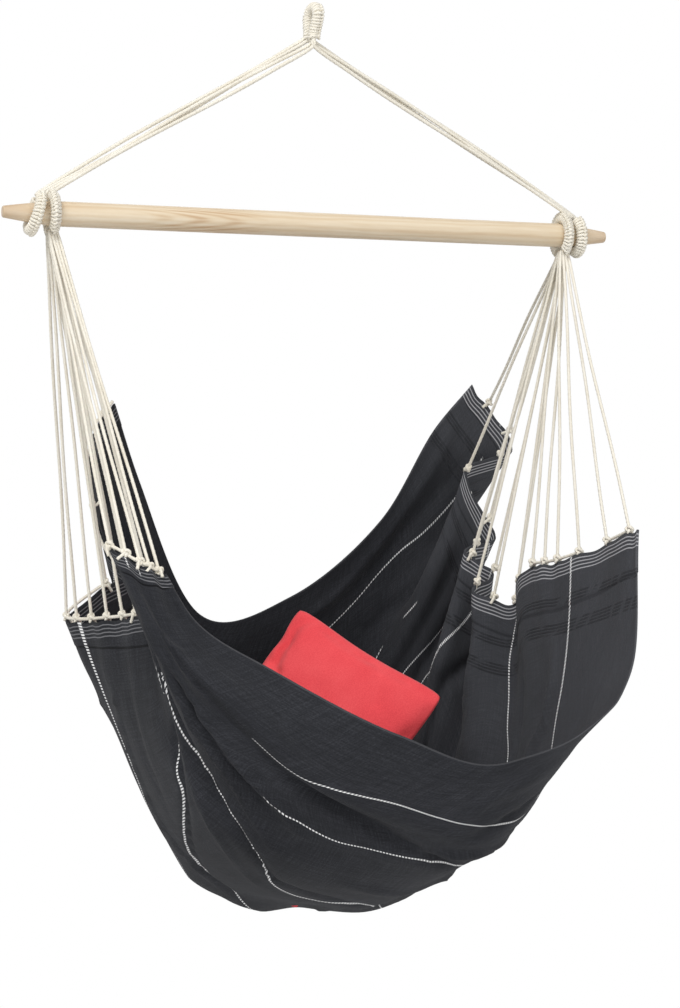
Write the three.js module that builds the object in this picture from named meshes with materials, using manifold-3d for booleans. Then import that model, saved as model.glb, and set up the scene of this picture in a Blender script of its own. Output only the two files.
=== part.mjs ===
// Hammock chair: a cloth seat hung by cotton strings from a wooden spreader bar, under one hanging eye.
// Millimetres, +Z up, +X along the bar, +Y towards the back of the seat.
// The origin is the point at the top of the hanging eye where it bears on whatever holds it up.

import * as THREE from 'three';
import { mergeVertices } from 'three/addons/utils/BufferGeometryUtils.js';
import Module from 'manifold-3d';

const wasm = await Module();
wasm.setup();

// Gap kept between pieces that touch on the real chair
const touchGap = 0.3;

// Spreader bar: a round pole with both ends turned to a long cone
const barLength = 1050;
const barDiameter = 40;
const barDrop = 348;
const barConeLength = 85;
const barTipDiameter = 19;
const barTipRound = 2.5;
const barFacets = 28;

// Served cord: a core of bundled yarn with a cord wound round it, used for the eye and the four rings
const coreDiameter = 8;
const coreFacets = 8;
const windingDiameter = 4.2;
const windingFacets = 4;
const windingStepsPerLoop = 8;
const windingProbe = 0.001;
// Loops are measured against the cord at least this share of a loop further on
const windingApartShare = 0.6;

// Hanging eye
const eyeHalfWidth = 17;
const eyeThroatDrop = 44;
const eyeThroatLead = 9;
const eyeLoops = 13;
const eyeCoreSteps = 18;
const eyeArcSteps = 6;

// Rings round the bar: one for the strings, and outside it one for the upper cords
const stringRingInset = 80;
const ringSpacing = 24;
const ringLoops = 19;
const ringThroatHalfAngle = THREE.MathUtils.degToRad(34);
const ringCoreSteps = 18;

// Upper cords, from the eye to the outer rings
const upperCordDiameter = 4.6;
const upperCordsPerSide = 4;
const upperCordFacets = 8;
const upperCordPitch = 5.4;
const upperCordLead = 9;
const upperCordBow = 9;
const upperCordSteps = 7;
const upperCordTurnShare = 0.7;

// Strings: each one runs from the ring down to the hem, along the hem, and back up to the ring
const stringDiameter = 3.8;
const stringFacets = 8;
const stringPitch = 4.5;
const stringColumns = 4;
const stringTopGap = 1.2;
const knotDiameter = 9.5;
const knotFacets = 8;
const knotRings = 4;
const knotLift = 0.9;
const hemStretchSteps = 6;

// Where the knots sit on each hem, from the front corner (0) to the back corner (1)
const leftKnotShares = [0.016, 0.044, 0.072, 0.1, 0.129, 0.19, 0.25, 0.322, 0.336,
  0.35, 0.364, 0.38, 0.4, 0.5, 0.62, 0.754, 0.87, 0.97];
const rightKnotShares = [0.015, 0.06, 0.11, 0.15, 0.175, 0.2, 0.256, 0.31, 0.355,
  0.425, 0.487, 0.535, 0.595, 0.7, 0.8, 0.865, 0.927, 0.97];

// Seat cloth: threads run from hem to hem, and the width of the cloth runs from front to back
const seatReach = 420;
const seatDrop = 1120;
const clothThickness = 2;
const hemThickness = 4;
const hemWidthShare = 0.033;
const hemStepShare = 0.004;
const columnsPerThread = 3;
const clothProbeShare = 0.002;
const rowShares = [0, hemWidthShare, hemWidthShare + hemStepShare, 0.1, 0.18, 0.27, 0.36, 0.45,
  0.55, 0.64, 0.73, 0.82, 0.9, 1 - hemWidthShare - hemStepShare, 1 - hemWidthShare, 1];

// Where the drawn threads lie across the width, from the front edge (0) to the back edge (1)
const threadShares = [0, 0.07, 0.15, 0.23, 0.31, 0.4, 0.48, 0.56, 0.64, 0.72, 0.8, 0.9, 1];

// Places of those threads at seven stations from the left hem (0) to the right hem (1).
// Each point gives the side, depth and drop of the cloth as shares of the string rings' distance from
// the middle, of the seat's reach and of its drop below the bar.
const stationShares = [
  { at: 0, points: [
    [-0.75, -0.6, 0.505], [-0.84, -0.6, 0.49], [-0.92, -0.48, 0.47],
    [-0.7, -0.24, 0.545], [-0.71, -0.17, 0.565], [-0.85, 0.4, 0.58],
    [-0.71, 0.5, 0.54], [-0.57, 0.55, 0.515], [-0.65, 0.6, 0.485],
    [-0.69, 0.6, 0.435], [-0.71, 0.57, 0.375], [-0.73, 0.57, 0.315],
    [-0.6, 0.69, 0.255],
  ] },
  { at: 0.12, points: [
    [-0.68, -0.74, 0.565], [-0.79, -0.76, 0.585], [-0.85, -0.69, 0.57],
    [-0.72, -0.5, 0.66], [-0.74, -0.38, 0.71], [-0.735, 0.33, 0.705],
    [-0.61, 0.57, 0.705], [-0.49, 0.69, 0.695], [-0.51, 0.74, 0.635],
    [-0.52, 0.76, 0.575], [-0.51, 0.76, 0.51], [-0.49, 0.76, 0.45],
    [-0.47, 0.79, 0.375],
  ] },
  { at: 0.3, points: [
    [-0.48, -0.95, 0.625], [-0.61, -1, 0.68], [-0.67, -0.93, 0.72],
    [-0.6, -0.83, 0.785], [-0.62, -0.69, 0.84], [-0.56, 0, 0.9],
    [-0.44, 0.31, 0.94], [-0.29, 0.62, 0.92], [-0.23, 0.76, 0.84],
    [-0.24, 0.81, 0.755], [-0.24, 0.81, 0.695], [-0.25, 0.81, 0.63],
    [-0.23, 0.79, 0.58],
  ] },
  { at: 0.5, points: [
    [-0.08, -1.07, 0.71], [-0.21, -1.1, 0.78], [-0.17, -1.02, 0.82],
    [-0.22, -0.93, 0.865], [-0.23, -0.71, 0.925], [-0.18, -0.24, 0.98],
    [-0.1, 0.17, 0.995], [-0.04, 0.48, 0.97], [0.01, 0.67, 0.89],
    [0.03, 0.74, 0.815], [0.05, 0.74, 0.735], [0.07, 0.71, 0.64],
    [0.12, 0.67, 0.555],
  ] },
  { at: 0.7, points: [
    [0.33, -1.07, 0.75], [0.31, -1.05, 0.8], [0.33, -0.98, 0.855],
    [0.33, -0.83, 0.89], [0.31, -0.55, 0.935], [0.36, -0.12, 0.975],
    [0.43, 0.24, 0.98], [0.45, 0.48, 0.92], [0.47, 0.64, 0.83],
    [0.48, 0.74, 0.74], [0.49, 0.76, 0.645], [0.51, 0.76, 0.55],
    [0.53, 0.74, 0.435],
  ] },
  { at: 0.88, points: [
    [0.85, -0.9, 0.65], [0.8, -0.76, 0.69], [0.74, -0.55, 0.73],
    [0.73, -0.29, 0.75], [0.76, -0.07, 0.74], [0.66, 0.12, 0.71],
    [0.78, 0.31, 0.7], [0.64, 0.36, 0.635], [0.81, 0.55, 0.58],
    [0.75, 0.57, 0.545], [0.69, 0.57, 0.5], [0.91, 0.71, 0.41],
    [0.77, 0.74, 0.285],
  ] },
  { at: 1, points: [
    [0.97, -0.71, 0.445], [0.94, -0.48, 0.47], [0.87, -0.24, 0.495],
    [0.83, 0, 0.51], [0.86, 0.12, 0.56], [0.71, 0.19, 0.54],
    [0.84, 0.29, 0.515], [0.74, 0.36, 0.48], [0.93, 0.48, 0.465],
    [0.87, 0.48, 0.42], [0.82, 0.52, 0.355], [1.06, 0.62, 0.315],
    [0.93, 0.74, 0.215],
  ] },
];

// Loose cushion, standing in the hollow of the seat
const cushionWidth = 300;
const cushionHeight = 415;
const cushionCrown = 95;
const cushionDrawIn = 22;
const cushionGrid = 12;
// Where its lowest corner rests on the cloth, as shares like those of the stations
const cushionCornerShares = [-0.127, -0.164, 0.986];
const cushionAcross = new THREE.Vector3(0.576, -0.678, -0.458);
const cushionDown = new THREE.Vector3(-0.591, 0.042, -0.806);

const paint = {
  wood: { color: 0xe3caa5, roughness: 0.55, metalness: 0 },
  cord: { color: 0xece6d7, roughness: 0.9, metalness: 0 },
  cloth: { color: 0x2c2c31, roughness: 0.95, metalness: 0 },
  cushion: { color: 0xd5464b, roughness: 0.9, metalness: 0 },
};

const barRadius = barDiameter / 2;
const coreRadius = coreDiameter / 2;
const windingRadius = windingDiameter / 2;
// The wound cord's centre line stands off the core by enough for its straight steps to clear it
const windRadius = (coreRadius + touchGap + windingRadius) / Math.cos(Math.PI / windingStepsPerLoop);
const servedRadius = windRadius + windingRadius;
// The flats of the wound cord bear on the bar
const bearingRadius = windRadius + windingRadius * Math.cos(Math.PI / windingFacets);
const stringRingReach = barLength / 2 - stringRingInset;
const upperRingReach = stringRingReach + ringSpacing;
const barCentre = new THREE.Vector3(0, 0, -barDrop);

const part = new THREE.Group();

function addPiece(name, geometry, finish) {
  const mesh = new THREE.Mesh(geometry, new THREE.MeshStandardMaterial(finish));
  mesh.name = name;
  part.add(mesh);
  return mesh;
}

// A route whose extrusion puts one section on each of its points
class Route extends THREE.Curve {
  constructor(points) {
    super();
    this.points = points;
  }

  getPoint(t, target = new THREE.Vector3()) {
    const place = t * (this.points.length - 1);
    const index = Math.min(Math.floor(place), this.points.length - 2);
    return target.lerpVectors(this.points[index], this.points[index + 1], place - index);
  }

  getUtoTmapping(u) {
    return u;
  }
}

function roundSection(radius, facets) {
  const corners = [];
  for (let k = 0; k < facets; k += 1) {
    const angle = (2 * Math.PI * k) / facets;
    corners.push(new THREE.Vector2(radius * Math.cos(angle), radius * Math.sin(angle)));
  }
  return new THREE.Shape(corners);
}

function cordAlong(points, radius, facets) {
  return new THREE.ExtrudeGeometry(roundSection(radius, facets), {
    extrudePath: new Route(points),
    steps: points.length - 1,
    bevelEnabled: false,
  });
}

function toSolid(geometry) {
  geometry.deleteAttribute('normal');
  geometry.deleteAttribute('uv');
  const merged = mergeVertices(geometry);
  return new wasm.Manifold(new wasm.Mesh({
    numProp: 3,
    vertProperties: new Float32Array(merged.attributes.position.array),
    triVerts: new Uint32Array(merged.index.array),
  }));
}

function joined(geometries) {
  const solid = geometries.map(toSolid).reduce((sum, next) => sum.add(next));
  const mesh = solid.getMesh();
  const geometry = new THREE.BufferGeometry();
  geometry.setAttribute('position', new THREE.Float32BufferAttribute(mesh.vertProperties, 3));
  geometry.setIndex(Array.from(mesh.triVerts));
  geometry.computeVertexNormals();
  return geometry;
}

// A smooth curve through values that stand at uneven stops
function slopeAt(stops, values, k) {
  const last = stops.length - 1;
  const before = Math.max(k - 1, 0);
  const after = Math.min(k + 1, last);
  if (k === 0 || k === last) {
    return values[after].clone().sub(values[before]).divideScalar(stops[after] - stops[before]);
  }
  const stepBefore = stops[k] - stops[before];
  const stepAfter = stops[after] - stops[k];
  const slopeBefore = values[k].clone().sub(values[before]).divideScalar(stepBefore);
  const slopeAfter = values[after].clone().sub(values[k]).divideScalar(stepAfter);
  slopeBefore.multiplyScalar(stepAfter);
  slopeAfter.multiplyScalar(stepBefore);
  return slopeBefore.add(slopeAfter).divideScalar(stepBefore + stepAfter);
}

function smoothThrough(stops, values, at) {
  let k = 0;
  while (k < stops.length - 2 && at > stops[k + 1]) {
    k += 1;
  }
  const step = stops[k + 1] - stops[k];
  const x = (at - stops[k]) / step;
  const rise = x * x * (3 - 2 * x);
  const sum = values[k].clone().multiplyScalar(1 - rise);
  sum.addScaledVector(values[k + 1], rise);
  sum.addScaledVector(slopeAt(stops, values, k), step * x * (1 - x) * (1 - x));
  sum.addScaledVector(slopeAt(stops, values, k + 1), step * x * x * (x - 1));
  return sum;
}

function seatPlace([side, depth, drop]) {
  return new THREE.Vector3(side * stringRingReach, depth * seatReach, -barDrop - drop * seatDrop);
}

const stations = stationShares.map((station) => station.at);
const stationPlaces = stationShares.map((station) => station.points.map(seatPlace));

// The middle of the cloth, at a share of the way from hem to hem and of the way from front to back
function clothPoint(along, across) {
  const threads = threadShares.map((share, k) => {
    const places = stationPlaces.map((row) => row[k]);
    return smoothThrough(stations, places, along);
  });
  return smoothThrough(threadShares, threads, across);
}

function clothNormal(along, across) {
  const along0 = Math.max(along - clothProbeShare, 0);
  const along1 = Math.min(along + clothProbeShare, 1);
  const across0 = Math.max(across - clothProbeShare, 0);
  const across1 = Math.min(across + clothProbeShare, 1);
  const alongStep = clothPoint(along1, across).sub(clothPoint(along0, across));
  const acrossStep = clothPoint(along, across1).sub(clothPoint(along, across0));
  return alongStep.cross(acrossStep).normalize();
}

function makeSpreaderBar() {
  const half = barLength / 2;
  const tipRadius = barTipDiameter / 2;
  const side = [
    [0, half],
    [tipRadius - barTipRound, half],
    [tipRadius - barTipRound * (1 - Math.SQRT1_2), half - barTipRound * (1 - Math.SQRT1_2)],
    [tipRadius, half - barTipRound],
    [barRadius, half - barConeLength],
  ];
  const profile = side.map(([radius, reach]) => new THREE.Vector2(radius, -reach));
  side.reverse().forEach(([radius, reach]) => profile.push(new THREE.Vector2(radius, reach)));
  const bar = addPiece('spreader_bar', new THREE.LatheGeometry(profile, barFacets), paint.wood);
  bar.rotation.z = -Math.PI / 2;
  bar.position.copy(barCentre);
}

// How thick the bar is at a distance from its middle
function barRadiusAt(reach) {
  const coneStart = barLength / 2 - barConeLength;
  const share = THREE.MathUtils.clamp((reach - coneStart) / barConeLength, 0, 1);
  return THREE.MathUtils.lerp(barRadius, barTipDiameter / 2, share);
}

function ringRadiusAt(reach) {
  return barRadiusAt(reach - servedRadius) + touchGap + bearingRadius;
}

// A cord wound round a core that follows a flat path in a plane square to the bar.
// A little of the path is left bare at each end.
class Winding extends THREE.Curve {
  constructor(path, loops) {
    super();
    this.path = path;
    this.loops = loops;
    this.bare = (windingDiameter + touchGap) / path.getLength();
    this.lead = windingDiameter / (2 * Math.PI * windRadius);
  }

  wound(turn) {
    const turned = THREE.MathUtils.clamp(turn / this.loops, 0, 1);
    const share = THREE.MathUtils.lerp(this.bare, 1 - this.bare, turned);
    const centre = this.path.getPointAt(share);
    const forward = this.path.getTangentAt(share);
    const outward = new THREE.Vector3(1, 0, 0).cross(forward).normalize();
    const angle = 2 * Math.PI * turn;
    centre.addScaledVector(outward, windRadius * Math.cos(angle));
    centre.x += windRadius * Math.sin(angle);
    return centre;
  }

  // Each end runs on straight for one cord's thickness
  getPoint(t, target = new THREE.Vector3()) {
    const turn = t * (this.loops + 2 * this.lead) - this.lead;
    if (turn < 0) {
      const run = this.wound(windingProbe).sub(this.wound(0)).divideScalar(windingProbe);
      return target.copy(this.wound(0)).addScaledVector(run, turn);
    }
    if (turn > this.loops) {
      const end = this.wound(this.loops);
      const run = end.clone().sub(this.wound(this.loops - windingProbe)).divideScalar(windingProbe);
      return target.copy(end).addScaledVector(run, turn - this.loops);
    }
    return target.copy(this.wound(turn));
  }

  getUtoTmapping(u) {
    return u;
  }
}

// The least space that a winding leaves between one loop and the next
function leastWindingGap(winding, steps) {
  const points = [];
  for (let k = 0; k <= steps; k += 1) {
    points.push(winding.getPoint(k / steps));
  }
  let least = Infinity;
  for (let a = 0; a < points.length; a += 1) {
    for (let b = a + Math.floor(windingStepsPerLoop * windingApartShare); b < points.length; b += 1) {
      least = Math.min(least, points[a].distanceTo(points[b]) - windingDiameter);
    }
  }
  return least;
}

function addWinding(name, path, loops) {
  const winding = new Winding(path, loops);
  const steps = loops * windingStepsPerLoop;
  const geometry = new THREE.ExtrudeGeometry(roundSection(windingRadius, windingFacets), {
    extrudePath: winding,
    steps,
    bevelEnabled: false,
  });
  console.log(`${name}: least gap ${leastWindingGap(winding, steps).toFixed(2)} mm`);
  addPiece(name, geometry, paint.cord);
}

// The eye's path: up the front limb, over the top and down the back limb to the throat
function eyePath() {
  const crown = servedRadius - eyeHalfWidth;
  const throatHalf = servedRadius + touchGap;
  const bend = eyeThroatLead - eyeThroatDrop;
  const points = [
    new THREE.Vector3(0, -throatHalf, -eyeThroatDrop),
    new THREE.Vector3(0, -throatHalf, bend),
  ];
  for (let k = 0; k <= eyeArcSteps; k += 1) {
    const angle = Math.PI * (1 - k / eyeArcSteps);
    const depth = eyeHalfWidth * Math.cos(angle);
    points.push(new THREE.Vector3(0, depth, crown + eyeHalfWidth * Math.sin(angle)));
  }
  points.push(new THREE.Vector3(0, throatHalf, bend));
  points.push(new THREE.Vector3(0, throatHalf, -eyeThroatDrop));
  return new THREE.CatmullRomCurve3(points, false, 'centripetal');
}

function makeHangingEye() {
  const path = eyePath();
  addPiece('hanging_eye_core', cordAlong(path.getSpacedPoints(eyeCoreSteps), coreRadius, coreFacets), paint.cord);
  addWinding('hanging_eye_winding', path, eyeLoops);
}

// Part of a circle round the bar, from one side of a throat to the other
class RingArc extends THREE.Curve {
  constructor(reach, radius, throatAngle) {
    super();
    this.reach = reach;
    this.radius = radius;
    this.throatAngle = throatAngle;
  }

  getPoint(t, target = new THREE.Vector3()) {
    const span = 2 * (Math.PI - ringThroatHalfAngle);
    const angle = this.throatAngle + ringThroatHalfAngle + span * t;
    const depth = this.radius * Math.cos(angle);
    return target.set(this.reach, depth, this.radius * Math.sin(angle) - barDrop);
  }

  getUtoTmapping(u) {
    return u;
  }
}

function makeRing(name, reach, radius, throatAngle) {
  const core = new THREE.TorusGeometry(radius, coreRadius, coreFacets, ringCoreSteps);
  const mesh = addPiece(`${name}_core`, core, paint.cord);
  mesh.rotation.y = Math.PI / 2;
  mesh.position.set(reach, 0, -barDrop);
  addWinding(`${name}_winding`, new RingArc(reach, radius, throatAngle), ringLoops);
}

function makeRings() {
  const up = Math.PI / 2;
  for (const [name, side] of [['left', -1], ['right', 1]]) {
    makeRing(`upper_ring_${name}`, side * upperRingReach, ringRadiusAt(upperRingReach), up);
    makeRing(`string_ring_${name}`, side * stringRingReach, ringRadiusAt(stringRingReach), -up);
  }
}

// One upper cord: straight down out of the eye, across with a slight bow, and straight down into its ring
function makeUpperCord(name, side, k) {
  const radius = upperCordDiameter / 2;
  const order = k - (upperCordsPerSide - 1) / 2;
  const limb = Math.sign(order) * (servedRadius + touchGap);
  const inLimb = (Math.abs(order) - 1) * upperCordPitch * Math.sign(order);
  const top = new THREE.Vector3((side * upperCordPitch) / 2, limb + inLimb, -eyeThroatDrop - touchGap);
  const seatRadius = ringRadiusAt(upperRingReach) + coreRadius + touchGap;
  const depth = order * upperCordPitch;
  const height = Math.sqrt(seatRadius ** 2 - (Math.abs(depth) - radius) ** 2);
  const foot = new THREE.Vector3(side * upperRingReach, depth, height - barDrop);
  const topBend = top.clone().setZ(top.z - upperCordLead);
  const footBend = foot.clone().setZ(foot.z + upperCordLead);
  const points = [top];
  for (let step = 0; step <= upperCordSteps; step += 1) {
    const share = step / upperCordSteps;
    const point = topBend.clone().lerp(footBend, share);
    const wave = Math.sin(Math.PI * share) * Math.cos(Math.PI * (k * upperCordTurnShare + share));
    point.z -= upperCordBow * wave;
    points.push(point);
  }
  points.push(foot);
  addPiece(name, cordAlong(points, radius, upperCordFacets), paint.cord);
}

function makeUpperCords() {
  for (const [name, side] of [['left', -1], ['right', 1]]) {
    for (let k = 0; k < upperCordsPerSide; k += 1) {
      makeUpperCord(`upper_cord_${name}_${k + 1}`, side, k);
    }
  }
}

// A straight round rod between two points
function rodBetween(from, to, radius) {
  const rod = new THREE.CylinderGeometry(radius, radius, from.distanceTo(to), stringFacets);
  const turn = new THREE.Quaternion();
  turn.setFromUnitVectors(new THREE.Vector3(0, 1, 0), to.clone().sub(from).normalize());
  rod.applyQuaternion(turn);
  rod.translate((from.x + to.x) / 2, (from.y + to.y) / 2, (from.z + to.z) / 2);
  return rod;
}

// The strings stand close together under their ring, in rows from front to back
function neckPlaces(side, hemPlaces) {
  const rows = Math.ceil(hemPlaces.length / stringColumns);
  const seatRadius = ringRadiusAt(stringRingReach) + coreRadius + stringTopGap;
  const places = [];
  for (let row = 0; row < rows; row += 1) {
    const first = row * stringColumns;
    const inRow = hemPlaces.slice(first, first + stringColumns).map((place, k) => ({ place, k }));
    inRow.sort((a, b) => a.place.x - b.place.x);
    inRow.forEach((entry, column) => {
      const depth = (row - (rows - 1) / 2) * stringPitch;
      const reach = side * stringRingReach + (column - (inRow.length - 1) / 2) * stringPitch;
      const height = Math.sqrt(seatRadius ** 2 - depth ** 2);
      places[first + entry.k] = new THREE.Vector3(reach, depth, -barDrop - height);
    });
  }
  return places;
}

function hemPoint(side, across) {
  return clothPoint(side < 0 ? 0 : 1, across);
}

// Knots stand on the hem's edge, just clear of the cloth, square to the edge and in the cloth's plane
function knotPlace(side, across) {
  const hem = hemPoint(side, across);
  const inside = clothPoint(side < 0 ? hemWidthShare : 1 - hemWidthShare, across);
  const outward = hem.clone().sub(inside);
  const run = hemPoint(side, Math.min(across + hemWidthShare, 1));
  run.sub(hemPoint(side, Math.max(across - hemWidthShare, 0))).normalize();
  outward.addScaledVector(run, -outward.dot(run)).normalize();
  return hem.addScaledVector(outward, knotDiameter / 2 + knotLift);
}

function knotBall(place) {
  const ball = new THREE.SphereGeometry(knotDiameter / 2, knotFacets, knotRings);
  ball.translate(place.x, place.y, place.z);
  return ball;
}

function makeStringLoop(name, side, acrossFirst, acrossLast, necks) {
  const radius = stringDiameter / 2;
  const knots = [knotPlace(side, acrossFirst), knotPlace(side, acrossLast)];
  const stretch = [];
  for (let step = 0; step <= hemStretchSteps; step += 1) {
    const share = step / hemStretchSteps;
    const place = knotPlace(side, THREE.MathUtils.lerp(acrossFirst, acrossLast, share));
    stretch.push(place);
  }
  const pieces = [
    rodBetween(necks[0], knots[0], radius),
    rodBetween(necks[1], knots[1], radius),
    knotBall(knots[0]),
    knotBall(knots[1]),
    cordAlong(stretch, radius, stringFacets),
  ];
  addPiece(name, joined(pieces), paint.cord);
}

function makeStrings() {
  for (const [name, side, shares] of [['left', -1, leftKnotShares], ['right', 1, rightKnotShares]]) {
    const hemPlaces = shares.map((share) => hemPoint(side, share));
    const necks = neckPlaces(side, hemPlaces);
    for (let k = 0; k < shares.length; k += 2) {
      const title = `string_loop_${name}_${k / 2 + 1}`;
      makeStringLoop(title, side, shares[k], shares[k + 1], [necks[k], necks[k + 1]]);
    }
  }
}

// The shares of the width at which the cloth's shell has a column of corners
function columnShares() {
  const shares = [];
  for (let k = 0; k < threadShares.length - 1; k += 1) {
    for (let column = 0; column < columnsPerThread; column += 1) {
      shares.push(THREE.MathUtils.lerp(threadShares[k], threadShares[k + 1], column / columnsPerThread));
    }
  }
  shares.push(1);
  return shares;
}

// A closed shell from two faces of one grid: quads are wound to face outwards on both sides and all rims
function shellGeometry(rows, columns, upper, lower) {
  const positions = [];
  const indices = [];
  const offset = rows * columns;
  [...upper, ...lower].forEach((point) => positions.push(point.x, point.y, point.z));
  const quad = (a, b, c, d) => indices.push(a, b, c, a, c, d);
  const at = (i, j) => i * columns + j;
  for (let i = 0; i < rows - 1; i += 1) {
    for (let j = 0; j < columns - 1; j += 1) {
      quad(at(i, j), at(i + 1, j), at(i + 1, j + 1), at(i, j + 1));
      quad(offset + at(i, j), offset + at(i, j + 1), offset + at(i + 1, j + 1), offset + at(i + 1, j));
    }
  }
  for (let i = 0; i < rows - 1; i += 1) {
    const end = columns - 1;
    quad(at(i, 0), offset + at(i, 0), offset + at(i + 1, 0), at(i + 1, 0));
    quad(at(i, end), at(i + 1, end), offset + at(i + 1, end), offset + at(i, end));
  }
  for (let j = 0; j < columns - 1; j += 1) {
    const end = rows - 1;
    quad(at(0, j), at(0, j + 1), offset + at(0, j + 1), offset + at(0, j));
    quad(at(end, j), offset + at(end, j), offset + at(end, j + 1), at(end, j + 1));
  }
  const geometry = new THREE.BufferGeometry();
  geometry.setAttribute('position', new THREE.Float32BufferAttribute(positions, 3));
  geometry.setIndex(indices);
  geometry.computeVertexNormals();
  return geometry;
}

// The seat is one cloth, and its two hems are folded double
function makeSeatCloth() {
  const columns = columnShares();
  const upper = [];
  const lower = [];
  for (const along of rowShares) {
    const inHem = Math.min(along, 1 - along) <= hemWidthShare;
    const half = (inHem ? hemThickness : clothThickness) / 2;
    for (const across of columns) {
      const middle = clothPoint(along, across);
      const normal = clothNormal(along, across);
      upper.push(middle.clone().addScaledVector(normal, half));
      lower.push(middle.addScaledVector(normal, -half));
    }
  }
  const geometry = shellGeometry(rowShares.length, columns.length, upper, lower);
  addPiece('seat_cloth', geometry, paint.cloth);
}

// A square cushion: full in the middle, thin at its seam, with its sides drawn in between the corners
function makeCushion() {
  const across = cushionAcross.clone().normalize();
  const down = cushionDown.clone().addScaledVector(across, -cushionDown.dot(across)).normalize();
  const outward = across.clone().cross(down);
  const centre = seatPlace(cushionCornerShares);
  centre.addScaledVector(across, -cushionWidth / 2).addScaledVector(down, -cushionHeight / 2);
  const faces = [[], []];
  for (let i = 0; i <= cushionGrid; i += 1) {
    const a = Math.sin((Math.PI / 2) * ((2 * i) / cushionGrid - 1));
    for (let j = 0; j <= cushionGrid; j += 1) {
      const b = Math.sin((Math.PI / 2) * ((2 * j) / cushionGrid - 1));
      const width = a * (cushionWidth / 2 - cushionDrawIn * (1 - b * b));
      const height = b * (cushionHeight / 2 - cushionDrawIn * (1 - a * a));
      const crown = (cushionCrown / 2) * Math.sqrt(Math.max((1 - a * a) * (1 - b * b), 0));
      const point = centre.clone().addScaledVector(across, width).addScaledVector(down, height);
      faces[0].push(point.clone().addScaledVector(outward, crown));
      faces[1].push(point.addScaledVector(outward, -crown));
    }
  }
  const size = cushionGrid + 1;
  const shell = shellGeometry(size, size, faces[0], faces[1]);
  addPiece('cushion', joined([shell]), paint.cushion);
}

makeHangingEye();
makeUpperCords();
makeSpreaderBar();
makeRings();
makeStrings();
makeSeatCloth();
makeCushion();

export default part;
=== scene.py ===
# %% [markdown]
# # A hammock chair, dressed in Blender
# The chair hangs from one eye of served cord. Two bundles of cord run from the eye to the ends of a turned
# wooden bar, and cotton strings run from the bar down to the hems of a dark cloth seat, where a red cushion
# stands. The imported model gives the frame, and everything here is placed in that frame, in metres.

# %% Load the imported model
import bpy
import bmesh
import math
import numpy as np
from mathutils import Matrix, Vector, noise


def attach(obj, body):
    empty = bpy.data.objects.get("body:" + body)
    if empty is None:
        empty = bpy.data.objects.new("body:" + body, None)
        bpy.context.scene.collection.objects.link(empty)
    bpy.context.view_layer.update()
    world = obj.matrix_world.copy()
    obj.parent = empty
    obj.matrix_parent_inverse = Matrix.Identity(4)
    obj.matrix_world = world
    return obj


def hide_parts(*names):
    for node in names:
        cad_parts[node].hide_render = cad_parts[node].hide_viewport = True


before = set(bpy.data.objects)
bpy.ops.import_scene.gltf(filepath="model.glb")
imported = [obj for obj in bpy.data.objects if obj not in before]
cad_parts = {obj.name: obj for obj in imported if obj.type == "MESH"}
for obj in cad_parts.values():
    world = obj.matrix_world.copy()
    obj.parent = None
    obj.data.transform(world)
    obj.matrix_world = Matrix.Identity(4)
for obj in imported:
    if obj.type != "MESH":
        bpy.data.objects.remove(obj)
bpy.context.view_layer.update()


# %% Two helpers for everything that is added
def placed(name, data):
    """A new object with this data, in the scene."""
    piece = bpy.data.objects.new(name, data)
    bpy.context.collection.objects.link(piece)
    return piece


def built_mesh(name, build):
    """The mesh that a bmesh has built."""
    mesh = bpy.data.meshes.new(name)
    build.to_mesh(mesh)
    build.free()
    return mesh


# %% [markdown]
# ## Camera
# The photograph was taken from the chair's front left, from far enough away for a long lens, with the camera
# held level at about the height of the seat's back corner. A level camera keeps upright lines upright, and a
# small sideways shift puts the chair where it stands in the picture without turning the camera.

# %% Place the camera
CAMERA_AZIMUTH = math.radians(20)
CAMERA_DISTANCE = 3.878
CAMERA_DROP = 0.8063
CAMERA_LENS = 84.3
SENSOR_SIDE = 36.0
PICTURE_HEIGHT = 1008
SHIFT_PIXELS = 23


camera_data = bpy.data.cameras.new("camera")
camera_data.sensor_fit = "VERTICAL"
camera_data.sensor_height = SENSOR_SIDE
camera_data.lens = CAMERA_LENS
camera_data.shift_x = SHIFT_PIXELS / PICTURE_HEIGHT
camera_data.clip_end = 60
camera = placed("camera", camera_data)
camera.location = (
    -CAMERA_DISTANCE * math.sin(CAMERA_AZIMUTH),
    -CAMERA_DISTANCE * math.cos(CAMERA_AZIMUTH),
    -CAMERA_DROP,
)
camera.rotation_euler = (math.pi / 2, 0, -CAMERA_AZIMUTH)
bpy.context.scene.camera = camera
bpy.context.scene.view_settings.view_transform = "Standard"
print("camera at", [round(v, 3) for v in camera.location])

# %% [markdown]
# ## Materials
# Each finish is built from procedural nodes, so that it holds at any distance: grain for the wood, loose
# fibres for the cotton, a slubby plain weave with stripes for the cloth and a fine grain for the cushion's
# cover. A small set of helpers keeps the node code short. Numbers that are the same all over a surface are
# set on the shader's own sockets.

# %% Helpers for node materials


def srgb(red, green, blue):
    """A colour given as 0-255 screen values, as the linear colour that Blender wants."""
    linear = []
    for value in (red, green, blue):
        share = value / 255
        linear.append(share / 12.92 if share <= 0.04045 else ((share + 0.055) / 1.055) ** 2.4)
    return (*linear, 1.0)


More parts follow.
